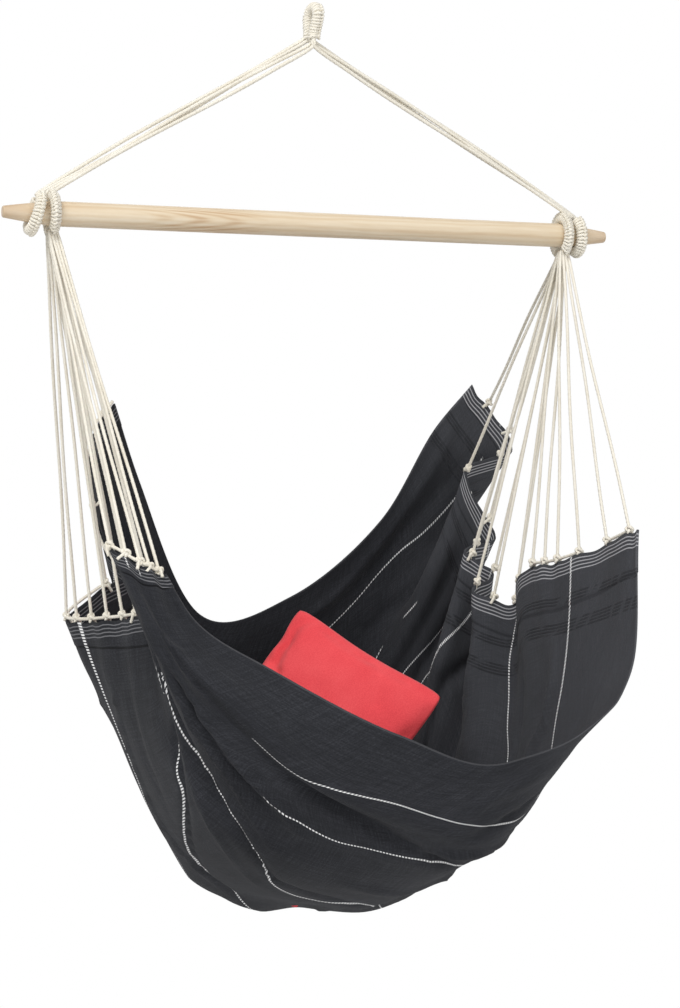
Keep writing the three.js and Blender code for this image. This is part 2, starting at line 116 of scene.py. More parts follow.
class Finish:
    """A material with a Principled shader, and short calls that add and join nodes."""

    def __init__(self, name, roughness, sheen=0.0, specular=0.5):
        self.material = bpy.data.materials.new(name)
        self.material.use_nodes = True
        self.nodes = self.material.node_tree.nodes
        self.links = self.material.node_tree.links
        self.shader = self.nodes["Principled BSDF"]
        self.shader.inputs["Roughness"].default_value = roughness
        self.shader.inputs["Sheen Weight"].default_value = sheen
        self.shader.inputs["Specular IOR Level"].default_value = specular

    def set(self, socket, value):
        if isinstance(value, bpy.types.NodeSocket):
            self.links.new(value, socket)
        else:
            socket.default_value = value

    def math(self, operation, first, second=0.0, third=None):
        node = self.nodes.new("ShaderNodeMath")
        node.operation = operation
        self.set(node.inputs[0], first)
        self.set(node.inputs[1], second)
        if third is not None:
            self.set(node.inputs[2], third)
        return node.outputs[0]

    def mix(self, share, first, second):
        node = self.nodes.new("ShaderNodeMix")
        node.data_type = "RGBA"
        self.set(node.inputs["Factor"], share)
        self.set(node.inputs["A"], first)
        self.set(node.inputs["B"], second)
        return node.outputs["Result"]

    def object_place(self, scale):
        place = self.nodes.new("ShaderNodeTexCoord").outputs["Object"]
        return self.stretched(place, scale)

    def stretched(self, place, scale):
        node = self.nodes.new("ShaderNodeMapping")
        self.set(node.inputs["Vector"], place)
        node.inputs["Scale"].default_value = scale
        return node.outputs["Vector"]

    def own_map(self, name):
        node = self.nodes.new("ShaderNodeUVMap")
        node.uv_map = name
        return node.outputs["UV"]

    def parts(self, place):
        node = self.nodes.new("ShaderNodeSeparateXYZ")
        self.set(node.inputs[0], place)
        return node.outputs[0], node.outputs[1]

    def along_and_height(self):
        """How far a point lies along the bar, and how far above or below its axis."""
        node = self.nodes.new("ShaderNodeSeparateXYZ")
        self.set(node.inputs[0], self.nodes.new("ShaderNodeTexCoord").outputs["Object"])
        return node.outputs[0], self.math("ADD", node.outputs[2], BAR_DROP)

    def noise(self, place, scale, detail=3.0, rough=0.5):
        node = self.nodes.new("ShaderNodeTexNoise")
        self.set(node.inputs["Vector"], place)
        node.inputs["Scale"].default_value = scale
        node.inputs["Detail"].default_value = detail
        node.inputs["Roughness"].default_value = rough
        return node.outputs["Fac"]

    def between(self, value, start, end, low=0.0):
        """How far a value has come from start to end, as low to 1."""
        node = self.nodes.new("ShaderNodeMapRange")
        node.inputs["From Min"].default_value = start
        node.inputs["From Max"].default_value = end
        node.inputs["To Min"].default_value = low
        self.set(node.inputs["Value"], value)
        return node.outputs["Result"]

    def ramp(self, value, stops):
        node = self.nodes.new("ShaderNodeValToRGB")
        self.set(node.inputs["Fac"], value)
        elements = node.color_ramp.elements
        while len(elements) < len(stops):
            elements.new(0.5)
        for element, (at, colour) in zip(elements, stops):
            element.position = at
            element.color = colour
        return node.outputs["Color"]

    def bump(self, height, distance, strength=1.0):
        node = self.nodes.new("ShaderNodeBump")
        self.set(node.inputs["Height"], height)
        node.inputs["Distance"].default_value = distance
        node.inputs["Strength"].default_value = strength
        self.links.new(node.outputs["Normal"], self.shader.inputs["Normal"])

    def colour(self, value):
        self.set(self.shader.inputs["Base Color"], value)


def seen_directly(nodes, links):
    """1 for rays that show a thing to the camera, also in a gloss or through glass; 0 for its light."""
    ray = nodes.new("ShaderNodeLightPath")
    seen = ray.outputs["Is Camera Ray"]
    for kind in ("Is Glossy Ray", "Is Transmission Ray"):
        larger = nodes.new("ShaderNodeMath")
        larger.operation = "MAXIMUM"
        links.new(seen, larger.inputs[0])
        links.new(ray.outputs[kind], larger.inputs[1])
        seen = larger.outputs[0]
    return seen


def report_piece(piece):
    piece.data.calc_loop_triangles()
    print(piece.name, "faces", len(piece.data.polygons), "triangles", len(piece.data.loop_triangles))


# %% [markdown]
# ## Floor, backdrop and light
# The picture is a studio one on plain white. The floor is pale and catches a soft shadow near the chair, and
# further out it fades to plain white for the camera, as the world does. One large lamp from the upper left
# gives the bar its bright top and reaches down into the seat, and a weaker one in front keeps the folds of
# the dark cloth readable.

# %% Floor and world
FLOOR_DROP = 1.9
FLOOR_SIDE = 40.0
SHADOW_REACH = (0.7, 1.15)
FLOOR_GLOW = 0.45
WORLD_LIGHT = 0.49

floor_build = bmesh.new()
bmesh.ops.create_grid(floor_build, x_segments=1, y_segments=1, size=FLOOR_SIDE / 2)
bmesh.ops.translate(floor_build, verts=floor_build.verts, vec=(0, 0, -FLOOR_DROP))
floor_mesh = built_mesh("floor", floor_build)
floor = placed("floor", floor_mesh)

pale = Finish("floor_pale", roughness=0.9, specular=0.2)
pale.colour(srgb(238, 238, 238))
reach = pale.nodes.new("ShaderNodeVectorMath")
reach.operation = "LENGTH"
pale.set(reach.inputs[0], pale.object_place((1, 1, 0)))
fade = pale.between(reach.outputs["Value"], *SHADOW_REACH, low=FLOOR_GLOW)
white_share = pale.math("MULTIPLY", fade, seen_directly(pale.nodes, pale.links))
white = pale.nodes.new("ShaderNodeEmission")
blend = pale.nodes.new("ShaderNodeMixShader")
pale.set(blend.inputs[0], white_share)
pale.links.new(pale.shader.outputs[0], blend.inputs[1])
pale.links.new(white.outputs[0], blend.inputs[2])
pale.links.new(blend.outputs[0], pale.nodes["Material Output"].inputs["Surface"])
floor_mesh.materials.append(pale.material)

world = bpy.data.worlds.new("studio")
world.use_nodes = True
bpy.context.scene.world = world
sky_nodes, sky_links = world.node_tree.nodes, world.node_tree.links
sky = sky_nodes["Background"]
sky.inputs["Strength"].default_value = WORLD_LIGHT
backdrop = sky_nodes.new("ShaderNodeBackground")
sky_mix = sky_nodes.new("ShaderNodeMixShader")
sky_links.new(seen_directly(sky_nodes, sky_links), sky_mix.inputs[0])
sky_links.new(sky.outputs[0], sky_mix.inputs[1])
sky_links.new(backdrop.outputs[0], sky_mix.inputs[2])
sky_links.new(sky_mix.outputs[0], sky_nodes["World Output"].inputs["Surface"])
for socket in (sky.inputs["Color"], backdrop.inputs["Color"]):
    socket.default_value = (1, 1, 1, 1)
print("floor", FLOOR_DROP, "m below the eye")

# %% Lamps
LAMPS = {
    "key_lamp": {"at": (-4.5, -4.2, 5.7), "aim": (0, 0, -0.9), "side": 4.5, "watts": 432},
    "fill_lamp": {"at": (0.6, -5.4, -0.2), "aim": (0, 0, -0.9), "side": 3.4, "watts": 64},
}
for name, lamp in LAMPS.items():
    data = bpy.data.lights.new(name, "AREA")
    data.energy = lamp["watts"]
    data.size = lamp["side"]
    light = placed(name, data)
    light.location = lamp["at"]
    light.rotation_euler = (Vector(lamp["aim"]) - Vector(lamp["at"])).to_track_quat("-Z", "Y").to_euler()
print("lamps", list(LAMPS))

# %% [markdown]
# ## Spreader bar
# The bar is a softwood pole, 4 cm thick, with both ends turned down to long cones and the tips eased. On a
# lathe that is one profile spun round the bar's axis, so it is made the same way here: a row of points along
# the side, spun once round X. The grain runs along the bar as pale and slightly darker bands, with one
# flame-shaped figure where the saw met the rings at an angle.

# %% Wood finish
FIGURE_PLACE = 0.205
FIGURE_DROP = 0.003
FIGURE_REACH = 0.12
FIGURE_CORE = 0.3
FIGURE_RATE = 17.0
FIGURE_BEND = 9000.0
TIP_SHADE_REACH = (0.45, 0.52)
BAR_DROP = 0.348

pine = Finish("pine", roughness=0.46, specular=0.42)
length_wise = pine.object_place((1.0, 7.0, 7.0))
bands = pine.nodes.new("ShaderNodeTexWave")
bands.wave_type = "RINGS"
bands.rings_direction = "X"
bands.inputs["Scale"].default_value = 5.0
bands.inputs["Distortion"].default_value = 5.0
bands.inputs["Detail"].default_value = 3.0
bands.inputs["Detail Scale"].default_value = 1.2
from_pith = pine.nodes.new("ShaderNodeMapping")
from_pith.inputs["Location"].default_value = (0.3, 0.16, 2.42)
pine.set(from_pith.inputs["Vector"], length_wise)
pine.set(bands.inputs["Vector"], from_pith.outputs["Vector"])
broad = pine.noise(pine.object_place((2.2, 26, 26)), 2.0, detail=4.0)
fibres = pine.noise(pine.object_place((14, 420, 420)), 1.6, detail=4.0, rough=0.65)
tone = pine.math("MULTIPLY_ADD", bands.outputs["Fac"], 0.14, pine.math("MULTIPLY", broad, 0.62))
tone = pine.math("MULTIPLY_ADD", fibres, 0.24, tone)
along_bar, height_on_bar = pine.along_and_height()
arch = pine.math("MULTIPLY", pine.math("ADD", along_bar, FIGURE_PLACE), FIGURE_RATE)
from_middle = pine.math("ADD", height_on_bar, FIGURE_DROP)
arch = pine.math("MULTIPLY_ADD", pine.math("MULTIPLY", from_middle, from_middle), FIGURE_BEND, arch)
arch = pine.math("MULTIPLY_ADD", broad, 0.9, arch)
arch = pine.math("POWER", pine.math("ABSOLUTE", pine.math("SINE", pine.math("MULTIPLY", arch, math.pi))), 3.0)
from_figure = pine.math("ABSOLUTE", pine.math("ADD", along_bar, FIGURE_PLACE))
figure = pine.math("MULTIPLY", arch, pine.between(from_figure, FIGURE_REACH, FIGURE_REACH * FIGURE_CORE))
tone = pine.math("MULTIPLY_ADD", figure, -0.25, tone)
wood = pine.ramp(tone, [
    (0.22, srgb(200, 170, 136)),
    (0.42, srgb(218, 197, 166)),
    (0.6, srgb(228, 212, 186)),
    (0.78, srgb(234, 221, 199)),
])
to_tip = pine.between(pine.math("ABSOLUTE", along_bar), *TIP_SHADE_REACH)
pine.colour(pine.mix(pine.math("MULTIPLY", to_tip, 0.55), wood, srgb(184, 154, 122)))
pine.bump(fibres, 0.0004, 0.35)

# %% Turn the bar
BAR_LENGTH = 1.05
BAR_RADIUS = 0.02
CONE_LENGTH = 0.085
TIP_RADIUS = 0.0095
TIP_ROUND = 0.0025
BAR_FACETS = 56
CONE_STEPS = 14
CONE_SWELL = 0.0005
TIP_STEPS = 4

half = BAR_LENGTH / 2
side_points = [(half, 0.0), (half, TIP_RADIUS - TIP_ROUND)]
for step in range(1, TIP_STEPS + 1):
    angle = math.pi / 2 * step / TIP_STEPS
    side_points.append((
        half - TIP_ROUND * (1 - math.sin(math.pi / 2 - angle)),
        TIP_RADIUS - TIP_ROUND + TIP_ROUND * math.sin(angle),
    ))
for step in range(1, CONE_STEPS + 1):
    share = step / CONE_STEPS
    swell = math.sin(math.pi * share) * CONE_SWELL
    side_points.append((
        half - TIP_ROUND - (CONE_LENGTH - TIP_ROUND) * share,
        TIP_RADIUS + (BAR_RADIUS - TIP_RADIUS) * share + swell,
    ))
profile = side_points + [(-x, r) for x, r in reversed(side_points)]

bar_build = bmesh.new()
row = [bar_build.verts.new((x, 0, r)) for x, r in profile]
edges = [bar_build.edges.new(pair) for pair in zip(row, row[1:])]
bmesh.ops.spin(
    bar_build, geom=row + edges, cent=(0, 0, 0), axis=(1, 0, 0),
    angle=2 * math.pi, steps=BAR_FACETS, use_merge=True,
)
bmesh.ops.remove_doubles(bar_build, verts=bar_build.verts, dist=1e-6)
bmesh.ops.recalc_face_normals(bar_build, faces=bar_build.faces)
bmesh.ops.translate(bar_build, verts=bar_build.verts, vec=(0, 0, -BAR_DROP))
bar_mesh = built_mesh("turned_bar", bar_build)
bar_mesh.shade_smooth()
bar_mesh.materials.append(pine.material)
turned_bar = placed("turned_bar", bar_mesh)
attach(turned_bar, "bar_frame")
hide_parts("spreader_bar")
report_piece(turned_bar)

# %% [markdown]
# ## Cotton cord
# All the cord is undyed cotton, three yarns twisted together. A curve with a three-lobed section that turns
# as it goes shows the twist as real shape. The curve's tilt does the turning, so one helper makes straight
# strings, knots and windings alike: it takes a list of routes, smooths nothing, and returns one mesh.

# %% Cotton finish
cotton = Finish("undyed_cotton", roughness=0.88, sheen=0.25, specular=0.2)
tuft = cotton.noise(cotton.object_place((1, 1, 1)), 260.0, detail=4.0, rough=0.7)
drift = cotton.noise(cotton.object_place((1, 1, 1)), 18.0, detail=2.0)
cotton_tone = cotton.math("MULTIPLY_ADD", tuft, 0.5, cotton.math("MULTIPLY", drift, 0.5))
cotton.colour(cotton.ramp(cotton_tone, [
    (0.3, srgb(229, 222, 205)),
    (0.5, srgb(241, 235, 221)),
    (0.7, srgb(248, 244, 233)),
]))
cotton.bump(tuft, 0.0004, 0.25)

# %% A helper that turns a route into twisted cord
LOBES = 3
LOBE_DEPTH = 0.1
TWIST_PITCH = 0.026
CURVE_STEPS = 12


def section_curve(name, radius, points, lobe_depth):
    """The lobed section that a cord curve is swept with."""
    data = bpy.data.curves.new(name, "CURVE")
    data.dimensions = "2D"
    spline = data.splines.new("POLY")
    spline.points.add(points - 1)
    for k in range(points):
        angle = 2 * math.pi * k / points
        reach_out = radius * (1 - lobe_depth * (1 - math.cos(LOBES * angle)) / 2)
        spline.points[k].co = (reach_out * math.cos(angle), reach_out * math.sin(angle), 0, 1)
    spline.use_cyclic_u = True
    return bpy.data.objects.new(name, data)


def cord_mesh(name, routes, radius, section_points=9, pitch=TWIST_PITCH, lobe_depth=LOBE_DEPTH, closed=False):
    """One mesh of twisted cord along each of the routes."""
    section = section_curve(f"{name}_section", radius, section_points, lobe_depth)
    data = bpy.data.curves.new(name, "CURVE")
    data.dimensions = "3D"
    data.bevel_mode = "OBJECT"
    data.bevel_object = section
    data.use_fill_caps = not closed
    for route in routes:
        spline = data.splines.new("POLY")
        spline.points.add(len(route) - 1)
        travelled, before = 0.0, route[0]
        for point, place in zip(spline.points, route):
            travelled += (Vector(place) - Vector(before)).length
            before = place
            point.co = (*place, 1)
            point.tilt = 2 * math.pi * travelled / pitch
        spline.use_cyclic_u = closed
    swept = placed(name, data)
    bpy.context.view_layer.update()
    mesh = bpy.data.meshes.new_from_object(swept.evaluated_get(bpy.context.evaluated_depsgraph_get()))
    mesh.name = name
    for leftover in (swept, section):
        leftover_data = leftover.data
        bpy.data.objects.remove(leftover)
        bpy.data.curves.remove(leftover_data)
    build = bmesh.new()
    build.from_mesh(mesh)
    bmesh.ops.remove_doubles(build, verts=build.verts, dist=1e-7)
    bmesh.ops.recalc_face_normals(build, faces=build.faces)
    build.to_mesh(mesh)
    build.free()
    return mesh


def cord_piece(name, mesh, body, *nodes):
    """A finished piece of cord that rides on a body and stands for CAD nodes."""
    mesh.materials.clear()
    mesh.materials.append(cotton.material)
    mesh.shade_smooth()
    piece = placed(name, mesh)
    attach(piece, body)
    if nodes:
        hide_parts(*nodes)
    return piece


def joined_mesh(name, meshes):
    """Several meshes as one."""
    build = bmesh.new()
    for mesh in meshes:
        build.from_mesh(mesh)
        bpy.data.meshes.remove(mesh)
    return built_mesh(name, build)


def spread(route, step):
    """The same route with points a set distance apart."""
    points = np.array([tuple(p) for p in route], dtype=float)
    legs = np.linalg.norm(np.diff(points, axis=0), axis=1)
    along = np.concatenate([[0], np.cumsum(legs)])
    count = max(int(round(along[-1] / step)), 2)
    at = np.linspace(0, along[-1], count + 1)
    return np.stack([np.interp(at, along, points[:, k]) for k in range(3)], axis=1)


def smooth_route(controls, step):
    """A Catmull-Rom curve through the control points, spread evenly."""
    stops = [Vector(place) for place in controls]
    stops = [2 * stops[0] - stops[1]] + stops + [2 * stops[-1] - stops[-2]]
    dense = []
    for k in range(1, len(stops) - 2):
        a, b, c, d = stops[k - 1:k + 3]
        for part in range(CURVE_STEPS):
            t = part / CURVE_STEPS
            dense.append(0.5 * (
                2 * b + (c - a) * t + (2 * a - 5 * b + 4 * c - d) * t * t + (3 * b - a - 3 * c + d) * t ** 3
            ))
    dense.append(stops[-2])
    return spread(dense, step)


print("cotton ready")

# %% [markdown]
# ## Hanging eye
# The eye is the middle of the upper cords, bent round and served: a cord is wound tightly round the bundle,
# and each turn is caught by a small hitch, so a ridge of knots runs down one side. The winding is a helix
# round the eye's own route, and the ridge is a second cord that weaves in and out over every turn.

# %% Served cord: a helix round a route, and the ridge of hitches
SERVE_RADIUS = 0.0066
SERVE_CORD = 0.0027
SERVE_PITCH = 0.0048
RIDGE_CORD = 0.0021
SERVE_LOBE_DEPTH = 0.04
SERVE_STEP = 0.0006
SERVE_POINTS = 18
SERVE_WOBBLE = ((0.03, 0.37), (0.02, 1.31))
RIDGE_SWING = 0.32
RIDGE_STAND = (0.95, 0.35)
BUNDLE_SINK = 0.4
BUNDLE_PITCH = 0.09


def frames_along(route):
    """Forward directions, and two directions square to them that don't turn."""
    forward = np.gradient(route, axis=0)
    forward /= np.linalg.norm(forward, axis=1)[:, None]
    first = np.cross(forward, np.array([1.0, 0.0, 0.0]))
    first /= np.linalg.norm(first, axis=1)[:, None]
    second = np.cross(forward, first)
    return forward, first, second


def served(name, route, body, nodes, ridge_angle):
    """A bundle of cord wound round a route, with its ridge of hitches."""
    fine = spread(route, SERVE_STEP)
    turns = round(np.linalg.norm(np.diff(fine, axis=0), axis=1).sum() / SERVE_PITCH)
    forward, first, second = frames_along(fine)
    share = np.linspace(0, 1, len(fine))
    turn = 2 * math.pi * turns * share
    wobble = 1
    for size, rate in SERVE_WOBBLE:
        wobble = wobble + size * np.sin(turn * rate)
    reach_out = (SERVE_RADIUS * wobble)[:, None]
    helix = fine + reach_out * (np.cos(turn)[:, None] * first + np.sin(turn)[:, None] * second)
    at = np.linspace(0, len(fine) - 1, turns * SERVE_POINTS + 1)
    places = np.stack([np.interp(at, np.arange(len(fine)), helix[:, k]) for k in range(3)], axis=1)
    winding = cord_mesh(f"{name}_winding", [places], SERVE_CORD, 9, lobe_depth=SERVE_LOBE_DEPTH)
    ridge_turn = ridge_angle + RIDGE_SWING * np.sin(turn)
    ridge_reach = (SERVE_RADIUS + SERVE_CORD * (RIDGE_STAND[0] + RIDGE_STAND[1] * np.cos(turn)))[:, None]
    ridge = fine + ridge_reach * (np.cos(ridge_turn)[:, None] * first + np.sin(ridge_turn)[:, None] * second)
    ridge_places = np.stack([np.interp(at[::2], np.arange(len(fine)), ridge[:, k]) for k in range(3)], axis=1)
    ridge_mesh = cord_mesh(f"{name}_ridge", [ridge_places], RIDGE_CORD, 7, lobe_depth=SERVE_LOBE_DEPTH)
    bundle_radius = SERVE_RADIUS - SERVE_CORD * BUNDLE_SINK
    bundle = cord_mesh(f"{name}_bundle", [fine[::8]], bundle_radius, 12, pitch=BUNDLE_PITCH)
    report_piece(cord_piece(name, joined_mesh(name, [bundle, winding, ridge_mesh]), body, *nodes))


# %% [markdown]
# The eye isn't quite square to the bar: it is turned a little about the upright and hangs a few millimetres
# left of the middle, its throat more than its top, as soft cord does.

# %% Make the eye
EYE_HALF_WIDTH = 0.017
SERVED_RADIUS = 0.00903
THROAT_DROP = 0.044
THROAT_HALF = 0.00933
EYE_TURN = 0.13
EYE_HANG = 0.1
EYE_SHIFT = 0.007
EYE_LEAD = 0.009
EYE_STEP = 0.002
EYE_RIDGE = -math.pi / 2 - 0.35
EYE_ARC_STEPS = 6

crown = SERVED_RADIUS - EYE_HALF_WIDTH
eye_controls = [(0, -THROAT_HALF, -THROAT_DROP), (0, -THROAT_HALF, EYE_LEAD - THROAT_DROP)]
for k in range(EYE_ARC_STEPS + 1):
    angle = math.pi * (1 - k / EYE_ARC_STEPS)
    eye_controls.append((0, EYE_HALF_WIDTH * math.cos(angle), crown + EYE_HALF_WIDTH * math.sin(angle)))
eye_controls += [(0, THROAT_HALF, EYE_LEAD - THROAT_DROP), (0, THROAT_HALF, -THROAT_DROP)]
eye_controls = [(EYE_HANG * z - EYE_TURN * y - EYE_SHIFT, y, z) for _, y, z in eye_controls]
served(
    "served_eye", smooth_route(eye_controls, EYE_STEP), "bar_frame",
    ["hanging_eye_core", "hanging_eye_winding"], EYE_RIDGE,
)

# %% [markdown]
# ## Rings round the bar
# At each end of the bar the upper cords close in one served ring, and the strings close in another beside it.
# They are the same construction as the eye, bent round the bar. The rings bear on the bar, and the throat of
# each one is where its cords come together: at the top for the upper cords, at the bottom for the strings.

# %% Make the four rings
STRING_RING_REACH = 0.445
UPPER_RING_REACH = 0.469
CORE_RADIUS = 0.004
BEARING_RADIUS = 0.00841
TOUCH_GAP = 0.0003
THROAT_ANGLE = math.radians(30)
RING_STEPS = 48
STRING_RIDGE = 0.3
UPPER_RIDGE = -0.5


def bar_radius_at(reach):
    share = min(max((reach - (BAR_LENGTH / 2 - CONE_LENGTH)) / CONE_LENGTH, 0), 1)
    return BAR_RADIUS + (TIP_RADIUS - BAR_RADIUS) * share


def ring_radius_at(reach):
    return bar_radius_at(reach - SERVED_RADIUS) + TOUCH_GAP + BEARING_RADIUS


def ring_route(reach, radius, throat, lean):
    """From one side of the throat round the bar to the other; lean tips the ring along the bar."""
    points = []
    for k in range(RING_STEPS + 1):
        angle = throat + THROAT_ANGLE + (2 * math.pi - 2 * THROAT_ANGLE) * k / RING_STEPS
        points.append((
            reach + lean * math.sin(angle),
            radius * math.cos(angle),
            radius * math.sin(angle) - BAR_DROP,
        ))
    return points


UP, DOWN = math.pi / 2, -math.pi / 2
RINGS = [
    ("upper_ring_left", -UPPER_RING_REACH - 0.004, UP, 0.008),
    ("string_ring_left", -STRING_RING_REACH, DOWN, 0.0),
    ("upper_ring_right", UPPER_RING_REACH, UP, -0.002),
    ("string_ring_right", STRING_RING_REACH, DOWN, 0.0),
]
for name, reach, throat, lean in RINGS:
    radius = ring_radius_at(abs(reach) - abs(lean))
    body, ridge_angle = ("seat", STRING_RIDGE) if "string" in name else ("bar_frame", UPPER_RIDGE)
    nodes = [f"{name}_core", f"{name}_winding"]
    served(f"served_{name}", ring_route(reach, radius, throat, lean), body, nodes, ridge_angle)

# %% [markdown]
# ## Upper cords
# Four cords run from the eye to each ring. They are taut, so they are nearly straight, but they cross over
# each other a little on the way. At the ring they lie side by side over its top.

# %% Make the upper cords
UPPER_CORD_RADIUS = 0.0034
UPPER_PITCH = 0.0054
UPPER_STACK = 0.0064
UPPER_FOOT_STEP = 0.0065
UPPER_FOOT = {-1: 0.459, 1: 0.466}
UPPER_LEAD = 0.009
UPPER_BOW = 0.006
UPPER_BOW_PHASE = 0.7
UPPER_CLOSING = 0.35
UPPER_OVERLAP = 0.004
FOOT_SINK = 0.001
UPPER_STEPS = 7
UPPER_SWEEP = 0.0028


def upper_route(side, k):
    """From the eye's throat to the top of a ring, as one of the four cords on a side."""
    order = k - 1.5
    limb = math.copysign(THROAT_HALF, order)
    within = (abs(order) - 1) * UPPER_PITCH * math.copysign(1, order)
    hang = -EYE_HANG * THROAT_DROP - EYE_TURN * limb - EYE_SHIFT
    top = Vector((hang + side * UPPER_PITCH / 2, limb + within, -THROAT_DROP + UPPER_OVERLAP))
    seat = ring_radius_at(UPPER_RING_REACH) + CORE_RADIUS
    depth = order * UPPER_PITCH
    reach = UPPER_FOOT[side] + order * UPPER_FOOT_STEP
    foot = Vector((side * reach, depth, math.sqrt(seat ** 2 - depth ** 2) - BAR_DROP - FOOT_SINK))
    top_bend = top + Vector((0, 0, order * UPPER_STACK - UPPER_LEAD))
    foot_bend = foot + Vector((-side * UPPER_LEAD, 0, UPPER_LEAD))
    points = [top]
    for step in range(UPPER_STEPS + 1):
        share = step / UPPER_STEPS
        point = top_bend.lerp(foot_bend, share)
        point.z -= UPPER_BOW * math.sin(math.pi * share) * math.cos(math.pi * (k * UPPER_BOW_PHASE + share))
        point.y *= 1 - UPPER_CLOSING * math.sin(math.pi * share)
        points.append(point)
    points.append(foot)
    return smooth_route(points, UPPER_SWEEP)


for side_name, side in (("left", -1), ("right", 1)):
    for k in range(4):
        mesh = cord_mesh(f"top_cord_{side_name}_{k + 1}", [upper_route(side, k)], UPPER_CORD_RADIUS)
        piece = cord_piece(mesh.name, mesh, "bar_frame", f"upper_cord_{side_name}_{k + 1}")
        report_piece(piece)

# %% [markdown]
# ## Seat cloth
# The seat is one woven sheet. The strings hold it by its two hems, and between them it hangs in a deep
# hollow: the front rolls outwards, the back stands up, and the right hem is gathered in steep pleats. The
# same stations that shape the CAD solid shape this sheet, on a much finer grid. Gathers, creases and slack
# are added as small moves square to the cloth, and each hem is scalloped between its knots. The sheet is a
# grid from an operator, moved onto the surface, with its columns closer together towards the front, where
# the folds are finest.

# %% The cloth's surface
SEAT_REACH = 0.42
SEAT_DROP = 1.12
THREADS = np.array([0, 0.07, 0.15, 0.23, 0.31, 0.4, 0.48, 0.56, 0.64, 0.72, 0.8, 0.9, 1])
STATIONS = [
    (0.0, [
        (-0.75, -0.6, 0.505), (-0.84, -0.6, 0.49), (-0.92, -0.48, 0.47), (-0.7, -0.24, 0.545),
        (-0.71, -0.17, 0.565), (-0.85, 0.4, 0.58), (-0.71, 0.5, 0.54), (-0.57, 0.55, 0.515),
        (-0.65, 0.6, 0.485), (-0.69, 0.6, 0.435), (-0.71, 0.57, 0.375), (-0.73, 0.57, 0.315),
        (-0.6, 0.69, 0.255)]),
    (0.12, [
        (-0.68, -0.74, 0.565), (-0.79, -0.76, 0.585), (-0.85, -0.69, 0.57), (-0.72, -0.5, 0.66),
        (-0.74, -0.38, 0.71), (-0.735, 0.33, 0.705), (-0.61, 0.57, 0.705), (-0.49, 0.69, 0.695),
        (-0.51, 0.74, 0.635), (-0.52, 0.76, 0.575), (-0.51, 0.76, 0.51), (-0.49, 0.76, 0.45),
        (-0.47, 0.79, 0.375)]),
    (0.3, [
        (-0.48, -0.95, 0.625), (-0.61, -1, 0.68), (-0.67, -0.93, 0.72), (-0.6, -0.83, 0.785),
        (-0.62, -0.69, 0.84), (-0.56, 0, 0.9), (-0.44, 0.31, 0.94), (-0.29, 0.62, 0.92),
        (-0.23, 0.76, 0.84), (-0.24, 0.81, 0.755), (-0.24, 0.81, 0.695), (-0.25, 0.81, 0.63),
        (-0.23, 0.79, 0.58)]),
    (0.5, [
        (-0.08, -1.07, 0.71), (-0.21, -1.1, 0.78), (-0.17, -1.02, 0.82), (-0.22, -0.93, 0.865),
        (-0.23, -0.71, 0.925), (-0.18, -0.24, 0.98), (-0.1, 0.17, 0.995), (-0.04, 0.48, 0.97),
        (0.01, 0.67, 0.89), (0.03, 0.74, 0.815), (0.05, 0.74, 0.735), (0.07, 0.71, 0.64),
        (0.12, 0.67, 0.555)]),
    (0.7, [
        (0.33, -1.07, 0.75), (0.31, -1.05, 0.8), (0.33, -0.98, 0.855), (0.33, -0.83, 0.89),
        (0.31, -0.55, 0.935), (0.36, -0.12, 0.975), (0.43, 0.24, 0.98), (0.45, 0.48, 0.92),
        (0.47, 0.64, 0.83), (0.48, 0.74, 0.74), (0.49, 0.76, 0.645), (0.51, 0.76, 0.55),
        (0.53, 0.74, 0.435)]),
    (0.88, [
        (0.85, -0.9, 0.65), (0.8, -0.76, 0.69), (0.74, -0.55, 0.73), (0.73, -0.29, 0.75),
        (0.76, -0.07, 0.74), (0.66, 0.12, 0.71), (0.78, 0.31, 0.7), (0.64, 0.36, 0.635),
        (0.81, 0.55, 0.58), (0.75, 0.57, 0.545), (0.69, 0.57, 0.5), (0.91, 0.71, 0.41),
        (0.77, 0.74, 0.285)]),
    (1.0, [
        (0.97, -0.71, 0.445), (0.94, -0.48, 0.47), (0.87, -0.24, 0.495), (0.83, 0, 0.51),
        (0.86, 0.12, 0.56), (0.71, 0.19, 0.54), (0.84, 0.29, 0.515), (0.74, 0.36, 0.48),
        (0.93, 0.48, 0.465), (0.87, 0.48, 0.42), (0.82, 0.52, 0.355), (1.06, 0.62, 0.315),
        (0.93, 0.74, 0.215)]),
]
station_stops = np.array([at for at, _ in STATIONS])
station_places = np.array([points for _, points in STATIONS], dtype=float)
station_places *= np.array([STRING_RING_REACH, SEAT_REACH, -SEAT_DROP])
station_places[..., 2] -= BAR_DROP


def smooth_through(stops, values, at):
    """A smooth curve through values at uneven stops, read at many places."""
    at = np.atleast_1d(at)
    step = np.diff(stops)
    slope = np.diff(values, axis=0) / step.reshape(-1, *([1] * (values.ndim - 1)))
    slopes = np.empty_like(values)
    slopes[0], slopes[-1] = slope[0], slope[-1]
    for k in range(1, len(stops) - 1):
        slopes[k] = (slope[k - 1] * step[k] + slope[k] * step[k - 1]) / (step[k - 1] + step[k])
    k = np.clip(np.searchsorted(stops, at, side="left") - 1, 0, len(stops) - 2)
    shape = (-1, *([1] * (values.ndim - 1)))
    x = ((at - stops[k]) / step[k]).reshape(shape)
    width = step[k].reshape(shape)
    rise = x * x * (3 - 2 * x)
    return (
        values[k] * (1 - rise) + values[k + 1] * rise
        + slopes[k] * width * x * (1 - x) ** 2 + slopes[k + 1] * width * x * x * (x - 1)
    )


def cloth_points(along, across):
    """The middle of the cloth on a grid: rows from hem to hem, columns from front to back."""
    threads = smooth_through(station_stops, station_places, along)
    return np.swapaxes(smooth_through(THREADS, np.swapaxes(threads, 0, 1), across), 0, 1)


def cloth_point(along, across):
    return Vector(cloth_points([along], [across])[0, 0])


